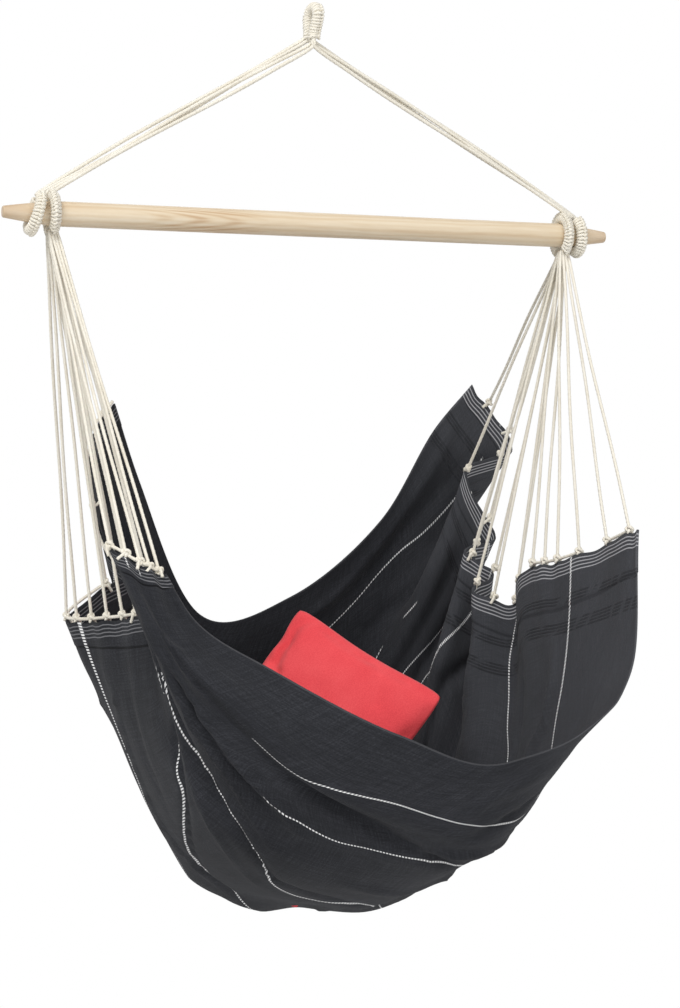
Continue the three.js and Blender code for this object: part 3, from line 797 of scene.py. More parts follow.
# %% Hang the sheet
ROWS = 144
COLUMNS = 248
FRONT_SHARE = 0.07
CLOTH_THICKNESS = 0.002
HEM_SHARE = 0.033
HEM_LEDGE = 0.0006
ROW_EASE = 0.45
SCALLOP_DEPTH = 0.0035
SCALLOP_FADE = 0.03
GATHER_HEIGHT = 0.0036
GATHER_FADE = 0.11
GATHER_PHASE = 0.6
SLACK_FADE = 6
SLACK_FOLDS = [(0.0062, 2.6, 13.0, 1.7), (0.0026, 7.0, 22.0, 4.1), (0.0012, 22.0, 26.0, 8.3)]
KNOT_SHARES = {
    -1: (0.016, 0.044, 0.072, 0.1, 0.129, 0.19, 0.25, 0.322, 0.336,
         0.35, 0.364, 0.38, 0.4, 0.5, 0.62, 0.754, 0.87, 0.97),
    1: (0.015, 0.06, 0.11, 0.15, 0.175, 0.2, 0.256, 0.31, 0.355,
        0.425, 0.487, 0.535, 0.595, 0.7, 0.8, 0.865, 0.927, 0.97),
}

row_at = 0.5 - 0.5 * np.cos(np.pi * np.linspace(0, 1, ROWS - 3))
row_at = ROW_EASE * row_at + (1 - ROW_EASE) * np.linspace(0, 1, ROWS - 3)
ledges = [HEM_SHARE, HEM_SHARE + HEM_LEDGE, 1 - HEM_SHARE - HEM_LEDGE, 1 - HEM_SHARE]
row_at = np.sort(np.concatenate([row_at, ledges]))
column_at = np.linspace(0, 1, COLUMNS + 1)
column_at = column_at - FRONT_SHARE * np.sin(np.pi * column_at)
surface = cloth_points(row_at, column_at)
along_steps = np.gradient(surface, axis=0)
across_steps = np.gradient(surface, axis=1)
normals = np.cross(along_steps, across_steps)
normals /= np.linalg.norm(normals, axis=2)[..., None]
inward = along_steps / np.linalg.norm(along_steps, axis=2)[..., None]
legs = np.linalg.norm(np.diff(surface, axis=0), axis=2)
from_left = np.vstack([np.zeros(COLUMNS + 1), np.cumsum(legs, axis=0)])
from_right = from_left[-1] - from_left
widths = np.linalg.norm(np.diff(surface, axis=1), axis=2)
from_front = np.hstack([np.zeros((ROWS + 1, 1)), np.cumsum(widths, axis=1)])

moved = surface.copy()
for distance, side in ((from_left, -1), (from_right, 1)):
    knot_shares = KNOT_SHARES[side]
    knot_count = np.interp(column_at, (0, *knot_shares, 1), np.arange(-1, len(knot_shares) + 1))
    scallop = 0.5 - 0.5 * np.cos(2 * np.pi * knot_count)
    gather = np.sin(np.pi * knot_count + GATHER_PHASE)
    near = np.exp(-distance / SCALLOP_FADE)
    far = np.exp(-distance / GATHER_FADE)
    moved -= inward * (side * SCALLOP_DEPTH * near * scallop)[..., None]
    moved += normals * (GATHER_HEIGHT * far * gather)[..., None]


def slack(i, j):
    """Small folds that run along the threads, with finer ones across them."""
    u, v = row_at[i], column_at[j]
    edge = min(1.0, SLACK_FADE * v, SLACK_FADE * (1 - v))
    return edge * sum(
        height * noise.noise(Vector((u * along, v * across, layer)))
        for height, along, across, layer in SLACK_FOLDS
    )


folds = np.array([[slack(i, j) for j in range(COLUMNS + 1)] for i in range(ROWS + 1)])

# %% [markdown]
# Above the slack lie the folds that the weight makes: they fan out from the two front corners of the hems,
# and they run along the front wall and the back. Each one is a line on the cloth, given as shares along and
# across, with how far it stands out (minus for outside, plus for inside) and how wide it is.

# %% Long folds
FOLD_POINTS = 8
TAPER_REACH = 0.09
TAPER_POWER = 0.7
HEM_CLEAR = (0.02, 0.06)
FOLDS = [
    (0.0143, 0.013, [(0.15, 0.072), (0.228, 0.078), (0.29, 0.092), (0.328, 0.094), (0.37, 0.111),
                     (0.408, 0.125), (0.443, 0.137), (0.48, 0.153), (0.522, 0.168), (0.562, 0.187),
                     (0.605, 0.202), (0.69, 0.25)]),
    (-0.009, 0.02, [(0.16, 0.045), (0.25, 0.05), (0.34, 0.066), (0.42, 0.085), (0.5, 0.1), (0.6, 0.12),
                    (0.7, 0.14)]),
    (-0.0103, 0.006, [(0.043, 0.105), (0.068, 0.098), (0.11, 0.09), (0.152, 0.064), (0.228, 0.064),
                      (0.3, 0.072)]),
    (-0.0125, 0.007, [(0.1, 0.112), (0.17, 0.104), (0.235, 0.11), (0.315, 0.134), (0.357, 0.166),
                      (0.4, 0.2), (0.443, 0.246)]),
    (0.0091, 0.007, [(0.12, 0.118), (0.2, 0.118), (0.28, 0.138), (0.34, 0.18), (0.4, 0.23)]),
    (-0.0103, 0.007, [(0.1, 0.125), (0.15, 0.124), (0.22, 0.138), (0.297, 0.174), (0.35, 0.236),
                      (0.42, 0.283)]),
    (0.0103, 0.009, [(0.11, 0.14), (0.163, 0.19), (0.2, 0.216), (0.278, 0.25), (0.36, 0.285), (0.43, 0.33),
                     (0.51, 0.34)]),
    (-0.0065, 0.011, [(0.12, 0.16), (0.165, 0.215), (0.22, 0.26), (0.3, 0.3), (0.38, 0.335), (0.46, 0.37)]),
    (0.0091, 0.009, [(0.158, 0.217), (0.177, 0.263), (0.228, 0.301), (0.292, 0.348), (0.355, 0.393),
                     (0.45, 0.427)]),
    (-0.0069, 0.006, [(0.037, 0.36), (0.103, 0.356), (0.177, 0.364), (0.253, 0.379), (0.34, 0.395),
                      (0.42, 0.43)]),
    (0.0039, 0.012, [(0.05, 0.335), (0.12, 0.335), (0.2, 0.34), (0.28, 0.355)]),
    (-0.006, 0.011, [(0.6, 0.1), (0.645, 0.083), (0.675, 0.058), (0.735, 0.054), (0.777, 0.051)]),
    (-0.0088, 0.009, [(0.56, 0.205), (0.6, 0.19), (0.66, 0.175), (0.74, 0.18)]),
    (0.0105, 0.009, [(0.62, 0.13), (0.68, 0.115), (0.76, 0.11), (0.83, 0.1)]),
    (0.009, 0.011, [(0.95, 0.988), (0.893, 0.98), (0.843, 0.974), (0.755, 0.973), (0.672, 0.963),
                    (0.6, 0.945), (0.5, 0.93)]),
    (-0.007, 0.014, [(0.93, 0.95), (0.85, 0.948), (0.755, 0.95), (0.68, 0.94)]),
    (0.0105, 0.009, [(0.95, 0.158), (0.917, 0.168), (0.893, 0.186), (0.868, 0.221), (0.82, 0.25)]),
    (0.01, 0.016, [(0.97, 0.775), (0.88, 0.77), (0.8, 0.76), (0.72, 0.745), (0.64, 0.72)]),
    (0.01, 0.016, [(0.97, 0.54), (0.88, 0.55), (0.82, 0.585), (0.74, 0.61)]),
    (0.01, 0.015, [(0.97, 0.375), (0.88, 0.42), (0.84, 0.45), (0.78, 0.46)]),
    (-0.014, 0.014, [(0.95, 0.85), (0.85, 0.845), (0.76, 0.84), (0.68, 0.83)]),
    (-0.014, 0.014, [(0.95, 0.63), (0.85, 0.66), (0.77, 0.68), (0.7, 0.69)]),
    (-0.014, 0.013, [(0.95, 0.465), (0.86, 0.535), (0.79, 0.545), (0.72, 0.55)]),
    (-0.01, 0.013, [(0.95, 0.25), (0.88, 0.275), (0.8, 0.29)]),
    (0.007, 0.012, [(0.45, 0.335), (0.52, 0.34), (0.58, 0.35), (0.64, 0.37)]),
    (-0.016, 0.05, [(0.38, 0.45), (0.42, 0.45), (0.47, 0.438), (0.51, 0.42), (0.54, 0.416)]),
    (0.022, 0.066, [(0.545, 0.412), (0.58, 0.41), (0.62, 0.395), (0.65, 0.372), (0.68, 0.33),
                    (0.688, 0.29)]),
    (0.009, 0.05, [(0.12, 0.41), (0.2, 0.42), (0.25, 0.43), (0.29, 0.44), (0.34, 0.46)]),
    (0.011, 0.05, [(0.7, 0.21), (0.75, 0.17), (0.78, 0.14), (0.81, 0.1), (0.83, 0.05), (0.86, 0.01)]),
    (-0.006, 0.016, [(0.5, 0.29), (0.57, 0.295), (0.64, 0.3), (0.72, 0.29)]),
]


def polyline_points(route):
    """Places close together along a fold, on the cloth's middle surface."""
    fine = []
    for (u0, v0), (u1, v1) in zip(route, route[1:]):
        for step in range(FOLD_POINTS):
            share = step / FOLD_POINTS
            fine.append(cloth_points([u0 + (u1 - u0) * share], [v0 + (v1 - v0) * share])[0, 0])
    return np.array(fine)


clear_of_hem = np.clip((np.minimum(from_left, from_right) - HEM_CLEAR[0]) / HEM_CLEAR[1], 0, 1)
for height, width, route in FOLDS:
    line = polyline_points(route)
    nearest = np.full(surface.shape[:2], 9.0)
    for point in line:
        nearest = np.minimum(nearest, np.linalg.norm(surface - point, axis=2))
    ends = np.minimum(
        np.linalg.norm(surface - line[0], axis=2), np.linalg.norm(surface - line[-1], axis=2)
    )
    taper = np.clip(ends / TAPER_REACH, 0, 1) ** TAPER_POWER
    folds += height * np.exp(-(nearest / width) ** 2) * taper * clear_of_hem
moved += normals * folds[..., None]
print("folds", len(FOLDS), "deepest", round(float(np.abs(folds).max()), 4))

# %% [markdown]
# White picks run from hem to hem. The nearest one's distance is written into a map of its own, with a sign
# that changes at every line, so that the finish can draw each line at the same width in any fold.

# %% Where the white picks run
PICK_LINES = [
    [(0, 0.075), (0.15, 0.073), (0.3, 0.085), (0.35, 0.09), (0.4, 0.095), (0.45, 0.085), (0.5, 0.078),
     (0.55, 0.077), (0.6, 0.088), (0.65, 0.104), (0.7, 0.122), (0.75, 0.138), (0.8, 0.155), (0.85, 0.165),
     (0.888, 0.162), (0.915, 0.149), (0.935, 0.14), (0.958, 0.131), (0.975, 0.125), (1, 0.12)],
    [(0, 0.1), (0.12, 0.1), (0.24, 0.116), (0.315, 0.14), (0.357, 0.17), (0.38, 0.188), (0.41, 0.202),
     (0.45, 0.212), (0.48, 0.216), (0.53, 0.212), (0.57, 0.211), (0.625, 0.222), (0.695, 0.259),
     (0.76, 0.29), (0.82, 0.3), (0.848, 0.303), (0.871, 0.318), (0.903, 0.324), (0.954, 0.323),
     (0.98, 0.308), (1, 0.285)],
    [(0, 0.15), (0.1, 0.15), (0.138, 0.165), (0.156, 0.192), (0.168, 0.21), (0.188, 0.223), (0.226, 0.233),
     (0.278, 0.249), (0.335, 0.27), (0.39, 0.302), (0.425, 0.333), (0.475, 0.355), (0.515, 0.357),
     (0.56, 0.352), (0.6, 0.36), (0.65, 0.44), (0.7, 0.57), (0.774, 0.652), (0.806, 0.65), (0.838, 0.58),
     (0.854, 0.567), (0.882, 0.557), (0.937, 0.523), (1, 0.49)],
    [(0, 0.18), (0.1, 0.175), (0.138, 0.182), (0.152, 0.202), (0.164, 0.236), (0.188, 0.28), (0.228, 0.307),
     (0.266, 0.336), (0.33, 0.382), (0.37, 0.4), (0.41, 0.411), (0.425, 0.421), (0.455, 0.441), (0.5, 0.47),
     (0.6, 0.55), (0.7, 0.67), (0.766, 0.71), (0.8, 0.7), (0.83, 0.684), (0.86, 0.672), (0.9, 0.66),
     (0.95, 0.64), (1, 0.62)],
    [(0, 0.376), (0.034, 0.376), (0.083, 0.374), (0.147, 0.374), (0.21, 0.38), (0.3, 0.43), (0.4, 0.5),
     (0.5, 0.58), (0.6, 0.68), (0.7, 0.77), (0.743, 0.79), (0.835, 0.777), (0.9, 0.77), (1, 0.76)],
    [(0, 0.62), (0.2, 0.7), (0.4, 0.8), (0.5, 0.85), (0.6, 0.89), (0.667, 0.91), (0.7, 0.922),
     (0.743, 0.928), (0.79, 0.924), (0.838, 0.925), (0.9, 0.93), (1, 0.94)],
]
HIDDEN_PICKS = [
    (0, 0.02, 0.34), (1, 0.02, 0.37), (2, 0.02, 0.146), (2, 0.806, 0.836), (3, 0.02, 0.14),
    (4, 0.73, 0.795), (4, 0.83, 1.0), (5, 0.93, 1.0),
]
line_shares = np.array([smooth_through(*np.array(line, dtype=float).T, row_at) for line in PICK_LINES])
width_here = from_front[:, -1:]
slant = np.gradient(line_shares, row_at, axis=1)[:, :, None] * (width_here / from_left[-1:, :])[None]
offsets = (column_at[None, None, :] - line_shares[:, :, None]) * width_here[None] / np.sqrt(1 + slant ** 2)
nearest_line = np.abs(offsets).argmin(axis=0)
passed = (offsets > 0).sum(axis=0)
pick_distance = np.abs(offsets).min(axis=0) * np.where(passed % 2 == 0, 1, -1)
pick_shown = np.ones_like(pick_distance)
for k, start, end in HIDDEN_PICKS:
    pick_shown[(nearest_line == k) & (row_at[:, None] > start) & (row_at[:, None] < end)] = 0.0

sheet_build = bmesh.new()
map_layer = sheet_build.loops.layers.uv.new("weave")
hem_layer = sheet_build.loops.layers.uv.new("hems")
share_layer = sheet_build.loops.layers.uv.new("shares")
pick_layer = sheet_build.loops.layers.uv.new("picks")
bmesh.ops.create_grid(sheet_build, x_segments=ROWS, y_segments=COLUMNS, size=0.5)
sheet_build.verts.ensure_lookup_table()
order = {}
for vert in sheet_build.verts:
    i = int(round((vert.co.x + 0.5) * ROWS))
    j = int(round((vert.co.y + 0.5) * COLUMNS))
    order[vert] = (i, j)
for vert, (i, j) in order.items():
    vert.co = moved[i, j]
for face in sheet_build.faces:
    for loop in face.loops:
        i, j = order[loop.vert]
        loop[map_layer].uv = (from_left[i, j], column_at[j])
        loop[hem_layer].uv = (from_left[i, j], from_right[i, j])
        loop[share_layer].uv = (row_at[i], column_at[j])
        loop[pick_layer].uv = (pick_distance[i, j], pick_shown[i, j])
sheet_mesh = built_mesh("seat_sheet", sheet_build)
sheet_mesh.shade_smooth()
area = sum(face.area for face in sheet_mesh.polygons)
print("cloth area", round(area, 3), "front edge", round(from_left[-1, 0], 3),
      "middle", round(from_left[-1, COLUMNS // 2], 3), "left hem", round(from_front[0, -1], 3))

# %% [markdown]
# ## Cloth finish
# The cloth is a plain weave of near-black cotton. Four pale stripes run beside each hem, a few worn ribs lie
# further in from the right hem, and rows of white picks run from hem to hem. The sheet carries four maps of
# its own: how far a point lies from the left hem and across the cloth, how far it lies from each hem, its
# shares along and across, and how far it lies from the nearest row of picks. Everything is drawn on those, so
# it follows every fold. Towards the right hem the cloth is painted a little paler, as painted light for its
# lit inner panel. The dark line where each doubled hem ends is painted shadow, strongest at the left hem.

# %% Charcoal weave with stripes
STRIPE_PLACES = (0.0075, 0.014, 0.0205, 0.027)
STRIPE_HALF = 0.001
LEDGE_HALF = 0.0013
PICK_HALF = 0.0015
PICK_LENGTH = 0.0052
RIB_PLACES = (0.066, 0.0715, 0.077, 0.112, 0.1175, 0.123, 0.1285)
RIB_HALF = 0.0018
SELVEDGE_SHARE = 0.0022
YARN_PITCH = 0.0011
CLOTH_WIDTH = 1.3
# Painted light: over these shares towards the right hem the cloth is mixed towards a paler grey, for the
# light on its inner panel.
PAINTED_LIGHT_ROWS = (0.72, 0.9)
PAINTED_LIGHT_MIX = 0.14
LINE_EDGE = (1.25, 0.75)
STRIPE_MIX = 0.92
STRIPE_LESS_AT_LEFT = 0.55
LEDGE_MIX = (0.6, 0.2)
# Painted shadow: how dark the line under the doubled hem's end is painted.
LEDGE_SHADOW_DARKNESS = 0.8
SELVEDGE_MIX = 0.12
RIB_WEAR = (0.36, 0.5)
RIB_MIX = 0.4
PICK_GAP = -0.35


def near_line(finish, value, places, half_width):
    """1 on the lines, 0 off them."""
    nearest = None
    for place in places:
        distance = finish.math("ABSOLUTE", finish.math("SUBTRACT", value, place))
        nearest = distance if nearest is None else finish.math("MINIMUM", nearest, distance)
    return finish.between(nearest, half_width * LINE_EDGE[0], half_width * LINE_EDGE[1])


charcoal = Finish("charcoal_weave", roughness=0.93, sheen=0.06, specular=0.1)
along_m, across_share = charcoal.parts(charcoal.own_map("weave"))
left_m, right_m = charcoal.parts(charcoal.own_map("hems"))
across_m = charcoal.math("MULTIPLY", across_share, CLOTH_WIDTH)
warp = charcoal.math("SINE", charcoal.math("MULTIPLY", across_m, 2 * math.pi / YARN_PITCH))
weft = charcoal.math("SINE", charcoal.math("MULTIPLY", along_m, 2 * math.pi / YARN_PITCH))
weave = charcoal.math("MULTIPLY", warp, weft)
weave_height = charcoal.math("MULTIPLY_ADD", weave, 0.5, 0.5)
metre_place = charcoal.nodes.new("ShaderNodeCombineXYZ")
charcoal.set(metre_place.inputs[0], along_m)
charcoal.set(metre_place.inputs[1], across_m)
flat = metre_place.outputs[0]
slub_long = charcoal.noise(charcoal.stretched(flat, (24, 360, 1)), 1.0, detail=3.0)
slub_cross = charcoal.noise(charcoal.stretched(flat, (360, 24, 1)), 1.0, detail=3.0)
fleck = charcoal.noise(charcoal.stretched(flat, (430, 520, 1)), 1.0, detail=2.0, rough=0.6)
cloudy = charcoal.noise(charcoal.stretched(flat, (5, 9, 1)), 1.0, detail=3.0)
shade = charcoal.math("MULTIPLY_ADD", slub_long, 0.23, charcoal.math("MULTIPLY", slub_cross, 0.23))
shade = charcoal.math("MULTIPLY_ADD", cloudy, 0.22, charcoal.math("MULTIPLY_ADD", fleck, 0.32, shade))
ground = charcoal.ramp(shade, [
    (0.36, srgb(31, 32, 35)),
    (0.5, srgb(44, 45, 49)),
    (0.64, srgb(62, 63, 68)),
])
row_share, column_share = charcoal.parts(charcoal.own_map("shares"))
# Painted light: a paler grey is mixed in towards the right hem to stand for the light on the inner right
# panel.
painted_light = charcoal.math("MULTIPLY", charcoal.between(row_share, *PAINTED_LIGHT_ROWS), PAINTED_LIGHT_MIX)
ground = charcoal.mix(painted_light, ground, srgb(132, 134, 140))
hem_distance = charcoal.math("MINIMUM", left_m, right_m)
stripes = near_line(charcoal, hem_distance, STRIPE_PLACES, STRIPE_HALF)
on_left = charcoal.math("LESS_THAN", row_share, 0.5)
stripe_strength = charcoal.math("MULTIPLY_ADD", on_left, -STRIPE_LESS_AT_LEFT, STRIPE_MIX)
striped = charcoal.mix(charcoal.math("MULTIPLY", stripes, stripe_strength), ground, srgb(176, 176, 180))
hem_share = charcoal.math("MINIMUM", row_share, charcoal.math("SUBTRACT", 1.0, row_share))
# Painted shadow: a near-black line where the doubled hem ends, stronger at the left hem; the same mask also
# sinks a groove in the bump.
ledge = near_line(charcoal, hem_share, (HEM_SHARE + HEM_LEDGE,), LEDGE_HALF)
ledge = charcoal.math("MULTIPLY", ledge, charcoal.math("MULTIPLY_ADD", on_left, *LEDGE_MIX))
striped = charcoal.mix(charcoal.math("MULTIPLY", ledge, LEDGE_SHADOW_DARKNESS), striped, srgb(8, 8, 9))
edge_share = charcoal.math("MINIMUM", column_share, charcoal.math("SUBTRACT", 1.0, column_share))
selvedge = charcoal.math("LESS_THAN", edge_share, SELVEDGE_SHARE)
striped = charcoal.mix(charcoal.math("MULTIPLY", selvedge, SELVEDGE_MIX), striped, srgb(150, 150, 154))
pick_m, shown = charcoal.parts(charcoal.own_map("picks"))
picks = charcoal.math("MULTIPLY", near_line(charcoal, pick_m, (0,), PICK_HALF), shown)
worn = charcoal.noise(charcoal.stretched(flat, (40, 14, 1)), 1.0, detail=2.0)
worn = charcoal.between(worn, *RIB_WEAR)
ribs = charcoal.math("MULTIPLY", near_line(charcoal, right_m, RIB_PLACES, RIB_HALF), worn)
wave = charcoal.math("SINE", charcoal.math("MULTIPLY", along_m, 2 * math.pi / PICK_LENGTH))
picks = charcoal.math("MULTIPLY", picks, charcoal.math("GREATER_THAN", wave, PICK_GAP))
ribbed = charcoal.mix(charcoal.math("MULTIPLY", ribs, RIB_MIX), striped, srgb(22, 22, 24))
charcoal.colour(charcoal.mix(picks, ribbed, srgb(244, 244, 244)))
raised = charcoal.math("MULTIPLY_ADD", weave_height, 0.4, charcoal.math("MULTIPLY", shade, 0.6))
raised = charcoal.math("MULTIPLY_ADD", picks, 0.8, raised)
raised = charcoal.math("MULTIPLY_ADD", ribs, 2.4, raised)
raised = charcoal.math("MULTIPLY_ADD", ledge, -2.0, raised)
charcoal.bump(raised, 0.0007, 0.6)
print("cloth finish: stripes at", STRIPE_PLACES)

# %% Give the sheet its thickness and its doubled hems
sheet = placed("seat_sheet", sheet_mesh)
sheet_mesh.materials.append(charcoal.material)
doubled = sheet.vertex_groups.new(name="doubled")
verts_at = {(i, j): k for k, (i, j) in enumerate(order.values())}
for (i, j), k in verts_at.items():
    hem = min(row_at[i], 1 - row_at[i])
    doubled.add([k], 1.0 if hem < HEM_SHARE + HEM_LEDGE / 2 else 0.5, "REPLACE")
thicken = sheet.modifiers.new("thickness", "SOLIDIFY")
thicken.thickness = 2 * CLOTH_THICKNESS
thicken.offset = 0
thicken.vertex_group = "doubled"
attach(sheet, "seat")
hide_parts("seat_cloth")
report_piece(sheet)

# %% [markdown]
# ## Strings, knots and the cord along the hems
# Each loop is one cord: down from the ring to a knot on the hem, along the hem to the next knot, and back up.
# The knots are small overhand knots, shaped like a trefoil, with a short tail. Where two loops stand close
# together, the cord runs on along the hem to the next loop's first knot. In the steep pleats at the right the
# cord between a pair of knots runs inside the doubled hem.

# %% Where the strings meet the hems and the rings
KNOT_LIFT = 0.0009
KNOT_RADIUS = 0.00475
STRING_RADIUS = 0.0029
STRING_PITCH = 0.0045
STRING_COLUMNS = 4
STRING_TOP_GAP = 0.0012


def hem_along(side):
    return 0.0 if side < 0 else 1.0


def knot_place(side, across):
    """A knot stands on the hem's edge, square to it and in the cloth's plane."""
    hem = cloth_point(hem_along(side), across)
    inside = cloth_point(HEM_SHARE if side < 0 else 1 - HEM_SHARE, across)
    outward = hem - inside
    run = (
        cloth_point(hem_along(side), min(across + HEM_SHARE, 1))
        - cloth_point(hem_along(side), max(across - HEM_SHARE, 0))
    ).normalized()
    outward = (outward - run * outward.dot(run)).normalized()
    return hem + outward * (KNOT_RADIUS + KNOT_LIFT), outward, run


def neck_places(side, hems):
    """Strings stand close together under their ring, in rows from front to back."""
    rows = math.ceil(len(hems) / STRING_COLUMNS)
    seat = ring_radius_at(STRING_RING_REACH) + CORE_RADIUS + STRING_TOP_GAP
    places = [None] * len(hems)
    for row in range(rows):
        first = row * STRING_COLUMNS
        after_last = min(first + STRING_COLUMNS, len(hems))
        in_row = sorted(range(first, after_last), key=lambda k: hems[k].x)
        for column, k in enumerate(in_row):
            depth = (row - (rows - 1) / 2) * STRING_PITCH
            reach = side * STRING_RING_REACH + (column - (len(in_row) - 1) / 2) * STRING_PITCH
            places[k] = Vector((reach, depth, -BAR_DROP - math.sqrt(seat ** 2 - depth ** 2)))
    return places


string_ends = {}
for side, shares in KNOT_SHARES.items():
    hems = [cloth_point(hem_along(side), share) for share in shares]
    string_ends[side] = (neck_places(side, hems), [knot_place(side, share) for share in shares])
print("strings a side", len(KNOT_SHARES[1]))


# %% Knots and strings
KNOT_SIZE = 0.0066
KNOT_STEPS = 36
KNOT_SQUASH = 0.9
START_NARROWED = 0.6
START_INSIDE = 0.8
STRING_STEPS = 8
SWAY = 0.0028
SWAY_PHASES = (2.4, 5.0)
STRING_SWEEP = 0.0032
TAIL_SWEEP = 0.002
STRETCH_SWEEP = 0.0028
FINER_CORD = 0.95
TAIL_LENGTH = 0.016
TAIL_LEAN = 0.004
TAIL_STAND = (0.003, 0.0052, 0.0045)
TAIL_BEND = 0.005
LACING_STEP = 0.04
STRETCH_STEPS = 16
STRETCH_SINK = 0.0012
BACK_SHARE = 0.33
TUNNEL_DEPTH = 0.011
TUNNEL_RADIUS = 0.0017


def knot_route(centre, up, along, size):
    """A small trefoil: a cord that passes over and under itself, as an overhand knot does."""
    out = up.cross(along).normalized()
    points = []
    for step in range(KNOT_STEPS + 1):
        t = 2 * math.pi * step / KNOT_STEPS
        a = (math.sin(t) + 2 * math.sin(2 * t)) / 3
        b = (math.cos(t) - 2 * math.cos(2 * t)) / 3
        c = -math.sin(3 * t) / 2
        points.append(centre + up * (a * size) + along * (b * size * KNOT_SQUASH) + out * (c * size))
    return points


def string_route(neck, knot, k, side):
    """From inside the ring, down to the knot, with a little slack sideways."""
    ring_foot = -BAR_DROP - ring_radius_at(STRING_RING_REACH)
    ring_middle = Vector((side * STRING_RING_REACH, neck.y * START_NARROWED, ring_foot))
    start = neck.lerp(ring_middle, START_INSIDE)
    run = knot - neck
    sideways = Vector((run.y, -run.x, 0)).normalized() if run.xy.length > 1e-6 else Vector((1, 0, 0))
    points = [start, neck]
    for step in range(1, STRING_STEPS):
        share = step / STRING_STEPS
        sway = SWAY * math.sin(math.pi * share) * math.sin(SWAY_PHASES[0] * k + SWAY_PHASES[1] * share)
        points.append(neck + run * share + sideways * sway)
    points.append(knot)
    return smooth_route(points, STRING_SWEEP)


def tunnel_point(side, across):
    """A place inside the doubled hem of the gathered cloth."""
    from_hem = (from_left if side < 0 else from_right).mean(axis=1)
    row = moved[np.abs(from_hem - TUNNEL_DEPTH).argmin()]
    return Vector([np.interp(across, column_at, row[:, k]) for k in range(3)])


for side_name, side in (("left", -1), ("right", 1)):
    necks, knots = string_ends[side]
    shares = (*KNOT_SHARES[side], 1.0)
    for loop in range(len(knots) // 2):
        meshes = []
        for k in (2 * loop, 2 * loop + 1):
            place, outward, run = knots[k]
            meshes.append(cord_mesh("string", [string_route(necks[k], place, k, side)], STRING_RADIUS))
            pull = (necks[k] - place).normalized()
            knot = knot_route(place, pull, pull.cross(run).cross(pull).normalized(), KNOT_SIZE)
            meshes.append(cord_mesh("knot", [knot[:-1]], STRING_RADIUS * FINER_CORD, closed=True))
            lean = math.sin(3.1 * k + side)
            face_out = outward.cross(run).normalized() * side * (1 if shares[k] > BACK_SHARE else -1)
            tail = [
                place + face_out * TAIL_STAND[0],
                place - outward * TAIL_BEND + face_out * TAIL_STAND[1],
                place - outward * TAIL_LENGTH + run * (TAIL_LEAN * lean) + face_out * TAIL_STAND[2],
            ]
            meshes.append(cord_mesh("tail", [smooth_route(tail, TAIL_SWEEP)], STRING_RADIUS * FINER_CORD))
        stretch = []
        start, end, onward = shares[2 * loop:2 * loop + 3]
        tunnel = side > 0 and start > BACK_SHARE
        end = onward if onward - end < LACING_STEP and not tunnel else end
        for step in range(STRETCH_STEPS + 1):
            share = start + (end - start) * step / STRETCH_STEPS
            point, outward, run = knot_place(side, share)
            inside_hem = tunnel and 0 < step < STRETCH_STEPS
            stretch.append(tunnel_point(side, share) if inside_hem else point - outward * STRETCH_SINK)
        stretch_radius = TUNNEL_RADIUS if tunnel else STRING_RADIUS
        meshes.append(cord_mesh("stretch", [smooth_route(stretch, STRETCH_SWEEP)], stretch_radius))
        mesh = joined_mesh(f"hung_string_{side_name}_{loop + 1}", meshes)
        piece = cord_piece(mesh.name, mesh, "seat", f"string_loop_{side_name}_{loop + 1}")
    report_piece(piece)

# %% [markdown]
# ## Cushion
# The cushion is an oblong cover with a loose filling: two panels sewn together all round and filled, so the
# middle swells and the sides draw in a little between the corners. The panels are laid out as two grids that
# share their rim and are swelled most of the way, and a cloth simulation with pressure from inside pushes the
# cover out. Cloth is never quite smooth, so the panels get a little unrest, but none on the rim, where they
# must meet to be sewn. Both panels face outwards from the start, because the pressure pushes the way that the
# faces look.

# %% Sew the cover
CUSHION_WIDTH = 0.3
CUSHION_HEIGHT = 0.415
CUSHION_CROWN = 0.095
CUSHION_DRAW_IN = 0.002
CORNER_ROUND = 0.006
CUSHION_CORNER = (-0.127, -0.164, 0.986)
CUSHION_ACROSS = Vector((0.576, -0.678, -0.458)).normalized()
CUSHION_DOWN = Vector((-0.591, 0.042, -0.806))
CELL = 0.0062
FILL_SHARE = 0.9
CROWN_POWER = 0.55
UNREST = 0.002

cover = bmesh.new()
cells_across, cells_down = round(CUSHION_WIDTH / CELL), round(CUSHION_HEIGHT / CELL)
bmesh.ops.create_grid(cover, x_segments=cells_across, y_segments=cells_down, size=1.0)
back = bmesh.ops.duplicate(cover, geom=cover.verts[:] + cover.edges[:] + cover.faces[:])
back_faces = [e for e in back["geom"] if isinstance(e, bmesh.types.BMFace)]
back_verts = {v for face in back_faces for v in face.verts}
bmesh.ops.reverse_faces(cover, faces=back_faces)
for vert in cover.verts:
    a, b = vert.co.x, vert.co.y
    crown_here = FILL_SHARE * CUSHION_CROWN / 2 * max((1 - a * a) * (1 - b * b), 0) ** CROWN_POWER
    rounding = CORNER_ROUND * (a * b) ** 8
    on_rim = max(abs(a), abs(b)) > 0.999
    layer = 3.0 if vert in back_verts else 0.0
    unrest = 0.0 if on_rim else noise.noise(Vector((a * 5, b * 6, layer)))
    vert.co = (
        a * (CUSHION_WIDTH / 2 - CUSHION_DRAW_IN * (1 - b * b) - rounding),
        b * (CUSHION_HEIGHT / 2 - CUSHION_DRAW_IN * (1 - a * a) - rounding),
        (-crown_here if vert in back_verts else crown_here) + UNREST * unrest,
    )
bmesh.ops.remove_doubles(cover, verts=cover.verts, dist=1e-4)
sewn_back = {face for face in cover.faces if face.calc_center_median().z < 0}
cover.verts.index_update()
seam = [
    vert.index for vert in cover.verts
    if len({edge_face in sewn_back for edge_face in vert.link_faces}) == 2
]
cover_piece = placed("cover", built_mesh("cover", cover))
print("cover cells", cells_across, "x", cells_down, "places on the seam", len(seam))

# %% Fill it
PRESSURE = 4.0
FILL_FRAMES = 8
FILL_QUALITY = 6
COVER_MASS = 0.3
COVER_STIFFNESS = 3.0
COVER_GROWTH = 0.02

